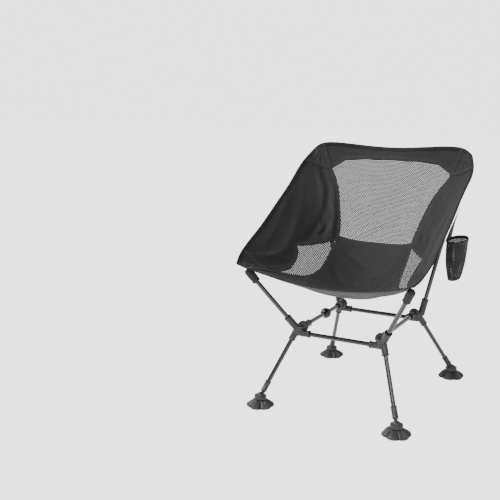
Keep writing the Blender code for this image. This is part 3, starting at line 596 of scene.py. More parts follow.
def makeHub(end, side):
    name = f"hub_{end}_{side}"
    sideLow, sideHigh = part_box("side_bar_right" if side == "right" else f"side_bar_left_{end}")
    crossLow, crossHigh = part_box(f"{end}_bar")
    inX = Vector((1 if side == "left" else -1, 0, 0))
    inY = Vector((0, 1 if end == "front" else -1, 0))
    sideX, sideZ = (sideLow.x + sideHigh.x) / 2, (sideLow.z + sideHigh.z) / 2
    crossY, crossZ = (crossLow.y + crossHigh.y) / 2, (crossLow.z + crossHigh.z) / 2
    centre, sideStart = Vector((sideX, crossY, crossZ)), Vector((sideX, crossY, sideZ))
    legFoot, legTop = lineOf(f"leg_{end}_{side}")
    armFoot, armTip = lineOf(f"arm_{end}_{side}")
    legWay, armWay = (legFoot - legTop).normalized(), (armTip - armFoot).normalized()
    legHead = legTop + legWay * (crossZ - legTop.z) / legWay.z
    armBase = armFoot + armWay * (crossZ - armFoot.z) / armWay.z
    sleeve, lip, coreStart = hub["sleeve"], hub["lip"], centre - inX * hub["coreBack"]
    parts = [
        barrel(name + "_cross", sleeve + 0.0001, -0.004, hub["cross"], 0.006, centre, centre + inX, lip),
        barrel(name + "_side", sleeve + 0.0005, 0.002, hub["side"], 0.020, sideStart, sideStart + inY, lip * 0.7),
        barrel(name + "_arm", hub["armRadius"] - 0.0005, hub["armStart"], hub["arm"], 0.034, armBase,
               armBase + armWay, hub["armLip"]),
        barrel(name + "_sleeve", sleeve, -hub["above"], hub["below"], -0.006, legHead, legHead + legWay, lip),
        turnProfile(name + "_disc", hubDisc(), sideStart, sideStart + inY, 48),
        turnProfile(name + "_core", hubCore(sideZ - crossZ), coreStart, coreStart + Vector((0, 0, 1)), 40)]
    webs = ((centre + inX * 0.016, legHead + legWay * 0.014), (centre + inX * 0.012, armBase + armWay * 0.030),
            (sideStart + inY * 0.022, legHead + legWay * 0.012))
    for number, (one, two) in enumerate(webs):
        parts.append(makeWeb(f"{name}_web{number}", centre + (legHead - centre) * 0.5, one, two))
    piece = joinPieces(parts[0], parts[1:])
    piece.name = name + "_moulding"
    skin = piece.modifiers.new("skin", "REMESH")
    skin.mode, skin.voxel_size = "VOXEL", hub["voxel"]
    soften = piece.modifiers.new("soften", "SMOOTH")
    soften.factor, soften.iterations = 0.5, 4
    applyModifiers(piece)
    low, high = hub["drill"]
    hole = [(0, low), (hub["bore"], low), (hub["bore"], high), (0, high)]
    drill = turnProfile(name + "_drill", hole, legHead, legHead + legWay, 32)
    cut = piece.modifiers.new("drill", "BOOLEAN")
    cut.object, cut.operation, cut.solver = drill, "DIFFERENCE", "EXACT"
    applyModifiers(piece)
    bpy.data.objects.remove(drill)
    finishPiece(piece, "hub", root, name, angle=60)


for end, side in corners:
    makeHub(end, side)

# feet
print("turning the feet")
foot = {"ball": 0.012, "neck": 0.0046, "sleeve": 0.0085, "start": 0.0175, "length": 0.030, "floor": 0.0215,
        "bore": 0.0064, "edge": 0.0006, "ballSteps": 20}
pad = {"radius": 0.0375, "groove": 0.86, "petals": 6, "neck": 0.0142, "rim": 0.0045, "neckTop": 0.0202,
       "cup": 0.0125, "ballZ": 0.026, "ridge": 0.0022, "valley": 0.0020}
collar = {"radius": 0.0168, "rise": 0.0045, "drop": 0.0055, "knurls": 24, "knurlDepth": 0.022}


def footBall(end, side):              # the middle of the ball under a leg
    low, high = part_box(f"foot_collar_{end}_{side}")
    return Vector(((low.x + high.x) / 2, (low.y + high.y) / 2, low.z + collar["drop"]))


def makeSocket(end, side):
    ball, top = footBall(end, side), lineOf(f"leg_{end}_{side}")[1]
    start, stop, wide, edge = foot["start"], foot["start"] + foot["length"], foot["sleeve"], foot["edge"]
    radius, neck, steps = foot["ball"], foot["neck"], foot["ballSteps"]
    first = math.asin(neck / radius)
    arc = [first + (math.pi - first) * i / steps for i in range(steps)]
    sphere = [(radius * math.sin(a), radius * math.cos(a)) for a in arc] + [(0, -radius)]
    profile = [(0, foot["floor"]), (foot["bore"], foot["floor"]), (foot["bore"], stop), (wide - edge, stop),
               (wide, stop - edge), (wide, stop - 0.0030), (wide - 0.0007, stop - 0.0038),
               (wide - 0.0007, start + 0.004), (wide - 0.0001, start + 0.0032), (wide - 0.0001, start + 0.0008),
               (wide - 0.0012, start), (neck + 0.0010, start - 0.0036), (neck + 0.0003, start - 0.0050), *sphere]
    piece = turnProfile(f"foot_socket_{end}_{side}_turned", profile, ball, top)
    finishPiece(piece, "hub", f"leg_{end}_{side}", f"foot_socket_{end}_{side}", angle=38)


def makePad(end, side):
    ball = footBall(end, side)
    wide, neck, top, cup, ballZ = (pad[size] for size in ("radius", "neck", "neckTop", "cup", "ballZ"))
    slope = [(1.0, pad["rim"]), (0.97, 0.0056), (0.86, 0.0088), (0.72, top * 0.62), (0.6, top * 0.73),
             (0.5, top * 0.84)]
    angle = math.acos((ballZ - top) / cup)
    bowl = [(cup * math.sin(a), ballZ - cup * math.cos(a)) for a in [angle * (1 - i / 8) for i in range(8)]]
    profile = [(0, 0.0), (0.010, 0.0), (wide * 0.5, 0.0), (wide * 0.8, 0.0), (wide * 0.97, 0.0), (wide, 0.0012),
               (wide, 0.003), *[(wide * share, height) for share, height in slope], (neck, top - 0.0012),
               (neck, top - 0.0004), (neck - 0.0006, top), *bowl, (0, ballZ - cup)]
    base = Vector((ball.x, ball.y, 0))
    piece = turnProfile(f"foot_pad_{end}_{side}_petals", profile, base, base + Vector((0, 0, 1)), 120)
    shapePetals(piece, base)
    finishPiece(piece, "pad", f"foot_{end}_{side}", f"foot_pad_{end}_{side}", angle=24)


def shapePetals(piece, base):         # a ridge down the middle of each petal and a valley between them, with painted shade written for the valleys
    wide, neck, paintedGrooveShade = pad["radius"], pad["neck"], []
    inner, outer = neck * 0.9, pad["radius"] * 0.97
    for vert in piece.data.vertices:
        x, y, z = vert.co - base
        reach = math.hypot(x, y)
        if reach < 0.0005 or (z > 0.0175 and reach < neck + 0.0004):
            paintedGrooveShade.append(0.0)
            continue
        turned = math.atan2(x, -y) * pad["petals"] / 2
        swell = abs(math.cos(turned)) ** 0.6
        # painted shade for the valleys, strongest midway between petals; the pad's material reads it as groove
        paintedGrooveShade.append(0.9 * (1 - swell) ** 1.3 if z > 0.001 else 0.0)
        share = min(1.0, max(0.0, (reach - inner) / (outer - inner)))
        depth = (1 - pad["groove"]) * (0.35 + 0.65 * share) if reach > neck else 0.0
        depth += 0.10 * math.sin(math.pi * share) ** 2
        scale = 1 - depth * (1 - swell)
        vert.co.x, vert.co.y = base.x + x * scale, base.y + y * scale
        if 0.0045 < z < 0.0185:
            ridge = math.exp(-abs(math.sin(turned)) / 0.3) * pad["ridge"]
            vert.co.z += ridge - pad["valley"] * (1 - swell) * share
    writeValues(piece, groove=paintedGrooveShade)


def makeCollar(end, side):
    ball, cup = footBall(end, side), pad["cup"]
    low, high, wide = -collar["drop"], collar["rise"], collar["radius"]
    heights = [low + (high - low) * i / 6 for i in range(7)]
    inside = [(math.sqrt(cup ** 2 - h ** 2) + 0.00005, h) for h in heights]
    profile = [*inside, (wide - 0.0022, high), (wide - 0.0008, high - 0.0008), (wide - 0.0002, high - 0.0022),
               (wide - 0.0002, low + 0.0030), (wide, low + 0.0024), (wide, low + 0.0004), (wide - 0.0004, low),
               inside[0]]
    piece = turnProfile(f"foot_collar_{end}_{side}_ring", profile, ball, ball + Vector((0, 0, 1)), 96)
    for vert in piece.data.vertices:      # shallow knurls round the outside
        offset = vert.co - ball
        if math.hypot(offset.x, offset.y) > wide - 0.0008 and offset.z > low + 0.0028:
            wave = 0.5 + 0.5 * math.cos(math.atan2(offset.y, offset.x) * collar["knurls"])
            pinch = 1 - collar["knurlDepth"] * wave
            vert.co.x, vert.co.y = ball.x + offset.x * pinch, ball.y + offset.y * pinch
    finishPiece(piece, "hub", f"foot_{end}_{side}", f"foot_collar_{end}_{side}", angle=38)


for end, side in corners:
    makeSocket(end, side)
    makePad(end, side)
    makeCollar(end, side)

# shock cords and arm caps
print("braiding the shock cords")
shockCord = {"radius": 0.0014, "pinch": 0.97, "rings": 60, "steps": 16}


def makeShockCord(end, side):
    start, stop = lineOf(f"shock_cord_{end}_{side}")
    length, radius, rings = (stop - start).length, shockCord["radius"], shockCord["rings"]
    braid = [(radius * (shockCord["pinch"] if i % 2 else 1.0), length * i / rings) for i in range(rings + 1)]
    profile = [(0, 0), *braid, (0, length)]
    piece = turnProfile(f"shock_cord_{end}_{side}_braid", profile, start, stop, shockCord["steps"])
    finishPiece(piece, "cord", root, f"shock_cord_{end}_{side}")


for end, side in corners:
    makeShockCord(end, side)
    nodes[f"arm_cap_{end}_{side}"].data.materials.clear()
    nodes[f"arm_cap_{end}_{side}"].data.materials.append(finishes["hub"])

# sling shape: across runs from -1 to 1 between the side edges, along from 0 at the front to 1 at the top
print("shaping the sling")
sling = {"width": 0.254, "frontY": -0.257, "rearY": 0.1865, "frontZ": 0.383, "rearZ": 0.649, "seam": 0.55,
         "waist": 0.56, "band": 0.945, "corner": 0.905, "meshCut": 0.36, "frontPatch": 0.13, "cloth": 0.0009}
ribShares = {     # along, then shares of the width, the depth and the rise of the arm tips
    "edge": [(0, 0.945, -0.059, 0.055), (0.08, 0.984, 0.016, 0.115), (0.3, 1.0, 0.262, 0.31),
             (0.5, 1.0, 0.484, 0.515), (0.7, 0.997, 0.703, 0.733), (0.9, 0.992, 0.895, 0.944),
             (1, 0.933, 0.976, 1.055)],
    "seam": [(0, 0.846, -0.034, 0.01), (0.12, 0.803, 0.124, -0.056), (0.19, 0.705, 0.225, -0.105),
             (0.28, 0.545, 0.35, -0.17), (0.37, 0.46, 0.49, -0.16), (0.48, 0.442, 0.66, 0.01),
             (0.56, 0.437, 0.755, 0.158), (0.68, 0.5, 0.845, 0.41), (0.8, 0.595, 0.931, 0.65),
             (0.91, 0.724, 0.99, 0.861), (1, 0.81, 0.985, 1.125)],
    "middle": [(0, 0, 0.043, -0.132), (0.12, 0, 0.178, -0.244), (0.27, 0, 0.372, -0.338),
               (0.4, 0, 0.58, -0.305), (0.48, 0, 0.71, -0.139), (0.56, 0, 0.805, 0.105), (0.7, 0, 0.906, 0.41),
               (0.85, 0, 0.981, 0.759), (1, 0, 1.021, 1.094)]}
ventOutline = [(0.19, 0.012), (0.3, 0.13), (0.375, 0.19), (0.4025, 0.225), (0.53, 0.03)]      # along, width


def splineBend(at, values):           # natural cubic, one for each row of knots
    count, step = at.shape[-1], np.diff(at)
    system, right = np.zeros((*at.shape, count)), np.zeros(values.shape)
    system[..., 0, 0] = system[..., -1, -1] = 1
    for i in range(1, count - 1):
        system[..., i, i - 1], system[..., i, i + 1] = step[..., i - 1], step[..., i]
        system[..., i, i] = 2 * (step[..., i - 1] + step[..., i])
        right[..., i, :] = 6 * ((values[..., i + 1, :] - values[..., i, :]) / step[..., i, None]
                                - (values[..., i, :] - values[..., i - 1, :]) / step[..., i - 1, None])
    return np.linalg.solve(system, right)


def splineRead(at, values, bend, t, i):
    rows = np.arange(len(t))
    h = (at[rows, i + 1] - at[rows, i])[:, None]
    before, after = (at[rows, i + 1] - t)[:, None], (t - at[rows, i])[:, None]
    low, high = values[rows, i], values[rows, i + 1]
    lowBend, highBend = bend[rows, i], bend[rows, i + 1]
    return ((lowBend * before ** 3 + highBend * after ** 3) / (6 * h) + (low / h - lowBend * h / 6) * before
            + (high / h - highBend * h / 6) * after)


def ribPoints(name, along):
    at, width, depth, rise = np.array(ribShares[name], float).T
    values = np.stack([width * sling["width"], sling["frontY"] + depth * (sling["rearY"] - sling["frontY"]),
                       sling["frontZ"] + rise * (sling["rearZ"] - sling["frontZ"])], axis=1)
    i = np.clip(np.searchsorted(at, along) - 1, 0, len(at) - 2)
    rows = [np.broadcast_to(part, (len(along), *part.shape)) for part in (at, values, splineBend(at, values))]
    return splineRead(*rows, along, i)


def slingPoints(across, along):       # points of the sling, in the chair's own frame
    across, along = np.broadcast_arrays(np.asarray(across, float), np.asarray(along, float))
    shape = across.shape
    across, along = across.ravel(), along.ravel()
    flip = np.array([-1, 1, 1])
    edge, seam, centre = (ribPoints(name, along) for name in ("edge", "seam", "middle"))
    points = np.stack([edge * flip, seam * flip, centre, seam, edge], axis=1)
    steps = np.sqrt(np.linalg.norm(np.diff(points, axis=1), axis=2))
    reach = np.concatenate([np.zeros((len(along), 1)), np.cumsum(steps, axis=1)], axis=1)
    knots = np.array([-1, -sling["seam"], 0, sling["seam"], 1])
    k = np.clip(np.searchsorted(knots, across) - 1, 0, 3)
    share = (across - knots[k]) / (knots[k + 1] - knots[k])
    rows = np.arange(len(along))
    q = reach[rows, k] + share * (reach[rows, k + 1] - reach[rows, k])
    found = splineRead(reach, points, splineBend(reach, points), q, k)
    return (found + np.array(middle)).reshape(*shape, 3)


def slingNormals(across, along):      # into the seat's hollow
    small = 0.004
    right = slingPoints(across + small, along) - slingPoints(across - small, along)
    up = slingPoints(across, along + small) - slingPoints(across, along - small)
    normal = np.cross(right, up)
    return normal / np.linalg.norm(normal, axis=-1, keepdims=True)


def backTop(across):                  # where the mesh ends under the top band, which widens at its corners
    share = np.clip((np.abs(across) - sling["meshCut"]) / (sling["seam"] - sling["meshCut"]), 0, 1)
    return sling["band"] + (sling["corner"] - sling["band"]) * share


def ventEdge(along):
    inside = (along >= ventOutline[0][0]) & (along <= ventOutline[-1][0])
    return sling["seam"] + np.where(inside, np.interp(along, *zip(*ventOutline)), 0)


# folds: from and to (across, along), then half width and height in metres
sideFolds = [(0.60, 0.15, 0.62, 0.84, 0.010, 0.0042), (0.80, 0.16, 0.86, 0.62, 0.009, 0.0030),
             (0.78, 0.41, 0.64, 0.78, 0.008, -0.0034), (0.70, 0.22, 0.74, 0.56, 0.007, -0.0022),
             (0.92, 0.20, 0.94, 0.66, 0.008, 0.0016), (0.72, 0.50, 0.70, 0.60, 0.005, 0.0026),
             (0.68, 0.51, 0.665, 0.61, 0.004, -0.0020), (0.64, 0.53, 0.63, 0.62, 0.004, 0.0020),
             (0.66, 0.60, 0.80, 0.88, 0.010, 0.0020), (0.90, 0.14, 0.70, 0.30, 0.008, 0.0014),
             (0.57, 0.62, 0.60, 0.86, 0.006, 0.0022)]
seatFolds = [(-0.44, 0.50, 0.13, 0.485, 0.006, -0.0018), (0.13, 0.47, 0.32, 0.52, 0.005, 0.0024),
             (0.10, 0.45, -0.12, 0.40, 0.007, 0.0022), (-0.48, 0.42, -0.10, 0.36, 0.009, -0.0020),
             (0.50, 0.42, 0.16, 0.34, 0.009, 0.0022), (0.54, 0.30, 0.20, 0.16, 0.011, 0.0020),
             (-0.54, 0.28, -0.20, 0.15, 0.011, 0.0020), (0.05, 0.38, 0.42, 0.30, 0.006, -0.0018),
             (-0.40, 0.12, 0.40, 0.10, 0.012, 0.0012)]
meshFolds = [(-0.50, 0.60, 0.42, 0.80, 0.008, -0.0020), (-0.17, 0.58, 0.50, 0.735, 0.008, -0.0024),
             (0.10, 0.57, 0.54, 0.66, 0.007, 0.0018), (-0.54, 0.66, 0.20, 0.84, 0.010, 0.0014),
             (-0.45, 0.80, 0.10, 0.92, 0.012, 0.0010), (-0.40, 0.565, 0.05, 0.66, 0.007, 0.0016)]
sheetScale = np.array([0.30, 0.52])   # metres for one step across and along, for laying folds out
foldGain = 1.5                        # how much higher than their own height all folds stand


def foldHeight(across, along, folds):
    spot = np.stack([across, along], axis=-1) * sheetScale
    total = np.zeros(across.shape)
    for a0, b0, a1, b1, width, height in folds:
        start, run = np.array([a0, b0]) * sheetScale, np.array([a1 - a0, b1 - b0]) * sheetScale
        t = ((spot - start) @ run) / (run @ run)
        bend = 0.006 * np.sin(t * 3.0 + a0 * 9)
        side = (spot - start) @ np.array([-run[1], run[0]]) / np.linalg.norm(run) - bend
        fade = smoothStep(-0.12, 0.22, t) * (1 - smoothStep(0.72, 1.12, t))
        total += foldGain * height * np.exp(-(side / width) ** 2) * fade
    return total


def softCreases(across, along, angle, fine, size, seed):   # long low creases that run one way
    x, y = across * sheetScale[0], along * sheetScale[1]
    c, s = math.cos(angle), math.sin(angle)
    u, v = (x * c + y * s), (-x * s + y * c)
    flat = [noise.noise(Vector((a * 9, b * fine, seed)))
            + 0.5 * noise.noise(Vector((a * 20, b * fine * 2.3, seed + 4))) for a, b in zip(u.ravel(), v.ravel())]
    return size * np.array(flat).reshape(across.shape)


# sling panels
print("sewing the panels")
hem = {"flat": 0.007, "end": 0.012, "settle": 0.03, "under": 0.012, "tuck": 0.014, "past": 0.016}
sheets = []                           # kept with their flat sizes, and printed once everything that goes with them is made


def makePanel(name, where, columns, rows, lift, finish, node, rests, seams=(), overlap=0.0, thick=None,
              flip=False, curves=None):
    piece, s, t = newGrid(name, columns, rows)
    acrossCount = len(np.unique(np.round(s, 5)))
    across, along = where(s.reshape(-1, acrossCount), t.reshape(-1, acrossCount))
    base = slingPoints(across, along)
    stepU = np.linalg.norm(np.diff(base, axis=1), axis=2)
    stepV = np.linalg.norm(np.diff(base, axis=0), axis=2)
    u = np.concatenate([np.zeros((len(base), 1)), np.cumsum(stepU, axis=1)], axis=1)
    v = np.concatenate([np.zeros((1, base.shape[1])), np.cumsum(stepV, axis=0)], axis=0)
    away, run = np.full(across.shape, 1.0), v
    sideGaps = {"left": (u, v), "right": (u[:, -1:] - u, v), "low": (v, u), "high": (v[-1:] - v, u)}
    for label in seams:
        distance, other = sideGaps[label]
        away, run = np.minimum(away, distance), np.where(distance < away, other, run)
    rise = overlap * (1 - smoothStep(hem["flat"], hem["end"], away))
    settle = smoothStep(0.0, hem["settle"], away) if seams else 1.0
    if curves:
        nearest, distance = curves(across, along)
        away, run = np.minimum(away, nearest), np.where(nearest < away, distance, run)
    height = lift(across, along) * settle + rise
    placePoints(piece, base + slingNormals(across, along) * height[..., None])
    writeValues(piece, seamAway=away, seamRun=run)
    writeCloth(piece, u - u[:, -1:] / 2, v)
    makeActive(piece)
    cleanMesh(flip=flip)
    if thick:
        thicken(piece, thick)
    finishPiece(piece, finish, root, node)
    area = (0.5 * (stepU[1:] + stepU[:-1]) * 0.5 * (stepV[:, 1:] + stepV[:, :-1])).sum()
    sheets.append((piece, u[:, -1].max(), v[-1].max(), area, rests, "stretched"))


def sewCentre():                      # seat, back and top band, which meet the side panels at the seams
    seam, waist, under, thick = sling["seam"], sling["waist"], hem["under"], sling["cloth"]
    frontCaps, rearCaps = [[f"arm_cap_{end}_{side}" for side in sides] for end in ends]

    def seatPlace(s, t):
        return between(-seam - under, seam + under, s), between(0, waist, t)

    def backPlace(s, t):
        top = backTop(between(-seam, seam, s)) + 0.006
        return between(-seam - under, seam + under, s), between(waist - 0.004, top, t)

    def bandPlace(s, t):
        across = between(-seam, seam, s)
        return across, between(backTop(across) - 0.004, 1, t)

    def seatLift(a, b):
        return foldHeight(a, b, seatFolds) + softCreases(a, b, 0.2, 40, 0.0010, 3.0)

    def backLift(a, b):
        return foldHeight(a, b, meshFolds) + softCreases(a, b, 0.55, 60, 0.0006, 7.0)

    def bandLift(a, b):
        return softCreases(a, b, 0.5, 60, 0.0004, 1.0)

    makePanel("seat_panel_cloth", seatPlace, 150, 150, seatLift, "seat", "seat_panel", frontCaps,
              ("left", "right", "high"), 0.0004, thick)
    makePanel("back_mesh_net", backPlace, 120, 90, backLift, "mesh", "back_mesh", rearCaps)
    makePanel("top_band_cloth", bandPlace, 150, 26, bandLift, "seat", "top_band", rearCaps, ("low",), 0.0012,
              thick)


def sewSide(side, sign):              # a side panel with the mesh vent beside the seat
    seam, corner, frontPatch, thick = sling["seam"], sling["corner"], sling["frontPatch"], sling["cloth"]
    ventLow, ventHigh = ventOutline[0][0], ventOutline[-1][0]

    def panelPlace(s, t):
        inner = ventEdge(between(frontPatch, corner, t)) - hem["tuck"]
        return sign * between(inner, 1, s), between(frontPatch - 0.01, corner + 0.01, t)

    def ventPlace(s, t):
        outer = ventEdge(between(ventLow, ventHigh, t)) + hem["past"]
        return sign * between(seam - hem["under"], outer, s), between(ventLow - 0.005, ventHigh + 0.005, t)

    def sideLift(a, b):
        return foldHeight(np.abs(a), b, sideFolds) + softCreases(np.abs(a), b, 1.25, 45, 0.0012, 5.0 + sign)

    def ventLift(a, b):
        return softCreases(a, b, 1.2, 70, 0.0006, 9.0)

    makePanel(f"side_panel_{side}_cloth", panelPlace, 80, 190, sideLift, "seat", f"side_panel_{side}",
              [f"arm_cap_front_{side}", f"arm_cap_rear_{side}"], ("left",), 0.0012, thick, flip=sign < 0)
    makePanel(f"side_vent_{side}_net", ventPlace, 40, 80, ventLift, "vent", f"side_vent_{side}",
              [f"arm_cap_front_{side}"], flip=sign < 0)


sewCentre()
for side, sign in (("left", -1), ("right", 1)):
    sewSide(side, sign)

# corner patches with their pouches
print("sewing the corners")
pouch = {"radius": 0.0094, "mouth": 0.042, "wall": 0.0009, "past": 0.003, "dome": 0.16, "roll": 0.0007,
         "across": 36, "rings": 26}
patch = {"overlap": 0.0019, "lap": 0.008, "stand": 0.0014, "ring": 0.040, "ray": 0.0009,
         "front": (0.66, 0.01), "rear": (0.72, 0.99), "scale": (0.25, 0.56)}


def makePouch(end, side):             # a sleeve round the arm's tip, drawn out to the cloth that it is sewn to
    foot, tip = lineOf(f"arm_{end}_{side}")
    way, radius = (tip - foot).normalized(), pouch["radius"]
    top = lineOf(f"arm_cap_{end}_{side}")[1] + way * pouch["past"]
    across = np.linspace(0.45, 1.0, 45) * (-1 if side == "left" else 1)
    along = np.linspace(0.0, 0.25, 50) if end == "front" else np.linspace(0.78, 1.0, 50)
    cloth = slingPoints(*np.meshgrid(across, along)).reshape(-1, 3)
    piece, around, down = newGrid(f"pouch_{end}_{side}", pouch["across"], pouch["rings"])
    for vert, s, t in zip(piece.data.vertices, around, down):
        dome = min(1.0, math.sqrt(max(0.0, 1 - (1 - min(1.0, t / pouch["dome"])) ** 2)))
        centre = top - way * (pouch["mouth"] * t)
        out = Vector(cloth[np.argmin(((cloth - np.array(centre)) ** 2).sum(1))]) - centre
        out -= way * out.dot(way)
        gap, outward = out.length, out.normalized()
        angle = 2 * math.pi * s
        pull = max(0.0, gap - radius + 0.0002) * max(0.0, math.cos(angle)) ** 3
        pull *= (1 - max(0.0, t - 0.12) / 0.88) ** 1.6
        reach = radius * dome * (1 + 0.03 * math.sin(angle * 5 + t * 9)) + pull * dome
        if t > 0.9:                   # the rolled mouth
            reach += pouch["roll"] * math.sin((t - 0.9) / 0.1 * math.pi)
        vert.co = centre + outward * (math.cos(angle) * reach) + way.cross(outward) * (math.sin(angle) * reach)
    cleanMesh(doubles=0.00002)
    thicken(piece, pouch["wall"], 1)
    finishPiece(piece, "seat", root, f"corner_pocket_{end}_{side}")


def makeCorner(end, side):
    seam, corner, frontPatch, lap = sling["seam"], sling["corner"], sling["frontPatch"], patch["lap"]
    sign = -1 if side == "left" else 1
    low, high = (0, frontPatch + lap) if end == "front" else (corner - lap, 1)
    (tipAcross, tipAlong), (scaleAcross, scaleAlong) = patch[end], patch["scale"]

    def place(s, t):
        return sign * between(seam - hem["under"], 1, s), between(low, high, t)

    def fromTip(a, b):                # metres along the cloth from the pouch's end, and the angle round it
        x, y = (np.abs(a) - tipAcross) * scaleAcross, (b - tipAlong) * scaleAlong
        return np.hypot(x, y), np.arctan2(y, x)

    def lift(a, b):                   # a doubled patch round the pouch, with creases running out from it
        reach, angle = fromTip(a, b)
        rays = np.sin(angle * 9 + 1.5 * np.sin(reach * 60)) * np.exp(-((reach - 0.032) / 0.022) ** 2)
        doubled = patch["stand"] * (1 - smoothStep(0.041, 0.044, reach))
        return doubled + patch["ray"] * rays + softCreases(a, b, 0.9 * sign, 70, 0.0011, 11.0)

    def ringSeam(a, b):
        reach, angle = fromTip(a, b)
        return np.abs(reach - patch["ring"]), angle * patch["ring"]

    makePanel(f"corner_{end}_{side}_patch", place, 60, 34, lift, "seat", f"corner_pocket_{end}_{side}",
              [f"arm_cap_{end}_{side}"], ("left", "high" if end == "front" else "low"), patch["overlap"],
              sling["cloth"], flip=sign < 0, curves=ringSeam)
    makePouch(end, side)


for end, side in corners:
    makeCorner(end, side)

# bindings
print("binding the edges")
tape = {"inside": 0.0085, "bulge": 0.0016, "stand": 0.0016, "thick": 0.0006, "fold": 0.3, "strips": 14,
        "ripple": 0.0003, "lift": 0.0005}
piping = {"radius": 0.0018, "reach": 0.97, "drop": 0.0028, "cuts": 60, "sides": 14}


def makeBinding(name, place, inward, count, node):    # tape folded over an edge of the sling
    piece, turned, far = newGrid(name, tape["strips"], count)
    across, along = place(far)
    inA, inB = inward[0] * 0.01 * np.sign(across), inward[1] * 0.01
    edge = slingPoints(across, along)
    within = slingPoints(across + inA, along + inB)
    unit = np.linalg.norm(within - edge, axis=1)
    fold = turned * 2 - 1             # -1 outer face, 0 on the fold, 1 inner face
    flatPart = np.clip((np.abs(fold) - tape["fold"]) / (1 - tape["fold"]), 0, 1)
    angle = np.clip(np.abs(fold) / tape["fold"], 0, 1) * math.pi / 2
    depth = flatPart * tape["inside"] - tape["bulge"] * np.cos(angle)
    level = np.sign(fold) * tape["stand"] * np.sin(angle) * (1 - 0.25 * flatPart)
    share = np.maximum(depth, 0) / unit
    a, b = across + inA * share, along + inB * share
    beyond = (edge - within) / unit[:, None] * np.maximum(-depth, 0)[:, None]
    ripple = np.array([noise.noise(Vector((x * 130, y * 130, z * 130))) for x, y, z in edge]) * tape["ripple"]
    rise = slingNormals(a, b) * (level + ripple + tape["lift"])[:, None]
    placePoints(piece, slingPoints(a, b) + beyond + rise)
    wide = tape["strips"] + 1
    steps = np.linalg.norm(np.diff(edge.reshape(-1, wide, 3)[:, 0], axis=0), axis=1)
    run = np.concatenate([[0], np.cumsum(steps)]).repeat(wide)
    away = np.abs(tape["inside"] - np.abs(depth)) + np.where(depth < 0, 1.0, 0.0)
    writeValues(piece, seamAway=away, seamRun=run)
    writeCloth(piece, depth * np.sign(fold), run)
    thicken(piece, tape["thick"])
    finishPiece(piece, "tape", root, node)


def sidePlace(sign):                  # along a side edge
    return lambda t: (np.full(t.shape, sign), between(0.004, 0.996, t))


def crossPlace(level):                # along the front or top edge
    return lambda t: (between(-0.994, 0.994, t), np.full(t.shape, level))


makeBinding("side_binding_left_tape", sidePlace(-1.0), (-1, 0), 220, "side_binding_left")
makeBinding("side_binding_right_tape", sidePlace(1.0), (-1, 0), 220, "side_binding_right")
makeBinding("front_binding_tape", crossPlace(0.0), (0, 1), 200, "front_binding")
makeBinding("top_binding_tape", crossPlace(1.0), (0, -1), 200, "top_binding")


def makePiping():                     # cord piping under the waist seam
    deselectAll()
    bpy.ops.mesh.primitive_cylinder_add(vertices=piping["sides"], radius=piping["radius"], depth=1,
                                        end_fill_type="NGON", location=(0, 0, 0))
    piece = bpy.context.object
    piece.name = piece.data.name = "waist_piping_tape"
    bpy.ops.object.mode_set(mode="EDIT")
    for level in np.linspace(-0.49, 0.49, piping["cuts"]):
        bpy.ops.mesh.select_all(action="SELECT")
        bpy.ops.mesh.bisect(plane_co=(0, 0, level), plane_no=(0, 0, 1))
    bpy.ops.object.mode_set(mode="OBJECT")
    spots = np.array([v.co for v in piece.data.vertices])
    across = spots[:, 2] * 2 * sling["seam"] * piping["reach"]
    along = np.full(len(across), sling["waist"])
    centre, normal = slingPoints(across, along), slingNormals(across, along)
    up = slingPoints(across, along + 0.004) - centre
    up /= np.linalg.norm(up, axis=1)[:, None]
    placePoints(piece, centre - normal * piping["drop"] + up * spots[:, :1] + normal * spots[:, 1:2])
    writeNoSeam(piece)
    cleanMesh()
    finishPiece(piece, "tape", root, "waist_piping", angle=60)


makePiping()

# side pocket
print("hanging the side pocket")
pocket = {"halfLength": 0.055, "halfWidth": 0.024, "depth": 0.105, "wallShare": 0.8, "hanger": 0.030,
          "net": (0.26, 0.135), "netArea": 0.030, "strip": (0.06, 0.085), "stripArea": 0.0051,
          "rimWide": 0.0017, "rimHigh": 0.0042, "rimDrop": 0.0022, "clear": 0.0052}
rimLow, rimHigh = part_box("side_pocket_rim")
rim = (rimLow + rimHigh) / 2


def edgeAt(y):                        # along, for the right edge's points with these y
    along = np.linspace(0, 1, 2001)
    return np.interp(y, slingPoints(np.ones(along.shape), along)[:, 1], along)


def makePocket():
    piece, s, t = newGrid("side_pocket_net_bag", 96, 56)
    angle = s * 2 * math.pi
    level = np.clip(t / pocket["wallShare"], 0, 1)       # down the wall, then in over the bottom
    inward = np.clip((t - pocket["wallShare"]) / (1 - pocket["wallShare"]), 0, 1)
    taper = (1 - 0.42 * level ** 2.2) * (1 - inward * 0.999)
    gather = 1 + 0.05 * np.sin(angle * 9 + 2 * level) * level + 0.03 * np.sin(angle * 17 + 5 * level) * level
    x = rim.x - 0.004 * level + pocket["halfWidth"] * taper * gather * np.cos(angle)
    y = rim.y + pocket["halfLength"] * taper * gather * np.sin(angle)
    sag = 0.045 * (1 - (1 - inward) ** 2) * (inward > 0)
    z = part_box("side_pocket_net")[1].z - pocket["depth"] * (level * 0.955 + sag)
    placePoints(piece, np.stack([x, y, z], axis=1))
    width, length = pocket["net"]
    writeCloth(piece, s * width, t * length)
    cleanMesh(doubles=0.00001)
    finishPiece(piece, "net", root, "side_pocket_net")
    sheets.append((piece, width, length, pocket["netArea"], ["side_pocket_rim_tape"], "hung"))


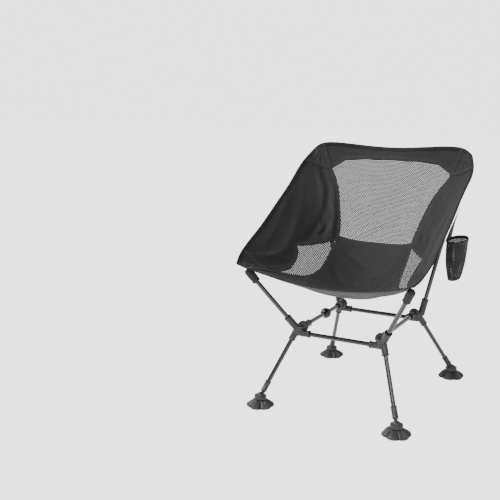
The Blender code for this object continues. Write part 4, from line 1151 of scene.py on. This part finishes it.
def makeRim():
    deselectAll()
    bpy.ops.mesh.primitive_torus_add(major_radius=1, minor_radius=0.1, major_segments=120, minor_segments=14,
                                     location=(0, 0, 0))
    piece = bpy.context.object
    piece.name = piece.data.name = "side_pocket_rim_tape"
    halfWidth, halfLength = pocket["halfWidth"] - 0.0006, pocket["halfLength"] - 0.0006
    for vert in piece.data.vertices:
        angle, reach = math.atan2(vert.co.y, vert.co.x), math.hypot(vert.co.x, vert.co.y) - 1
        out = Vector((math.cos(angle), math.sin(angle), 0))
        centre = Vector((rim.x + halfWidth * out.x, rim.y + halfLength * out.y, rim.z))
        high = vert.co.z / 0.1 * pocket["rimHigh"] - pocket["rimDrop"]
        vert.co = centre + out * (reach / 0.1 * pocket["rimWide"]) + Vector((0, 0, high))
    writeNoSeam(piece)
    finishPiece(piece, "tape", root, "side_pocket_rim")


def makeHanger():                     # the strip that the pocket hangs by, from the side edge to the rim
    piece, s, t = newGrid("side_pocket_hanger_cloth", 40, 44)
    y = rim.y + (s * 2 - 1) * pocket["hanger"]
    along = edgeAt(y)
    edge = slingPoints(np.ones(along.shape), along)
    bow = np.sqrt(1 - ((y - rim.y) / pocket["halfLength"]) ** 2)
    footX = rim.x - pocket["halfWidth"] * bow - pocket["clear"]
    top = np.stack([edge[:, 0] + pocket["clear"], y, edge[:, 2] + 0.001], axis=1)
    low = np.stack([footX, y, np.full(len(y), rim.z - 0.006)], axis=1)
    shaped = top + (low - top) * t[:, None]
    shaped[:, 0] += 0.0012 * np.sin(math.pi * t) * np.sin(s * 11)
    placePoints(piece, shaped)
    width, length = pocket["strip"]
    writeValues(piece, seamAway=np.minimum(s, 1 - s) * pocket["hanger"] * 2, seamRun=t * length)
    writeCloth(piece, s * width, t * length)
    thicken(piece, sling["cloth"])
    finishPiece(piece, "seat", root, "side_pocket_hanger")
    sheets.append((piece, width, length, pocket["stripArea"], ["side_binding_right_tape"], "hung"))


makePocket()
makeRim()
makeHanger()

# the cloth pieces' flat sizes and areas, printed
for piece, width, length, area, rests, held in sheets:
    print(piece.name, "flat", round(float(width), 3), round(float(length), 3), "area", round(float(area), 5))
print("done")
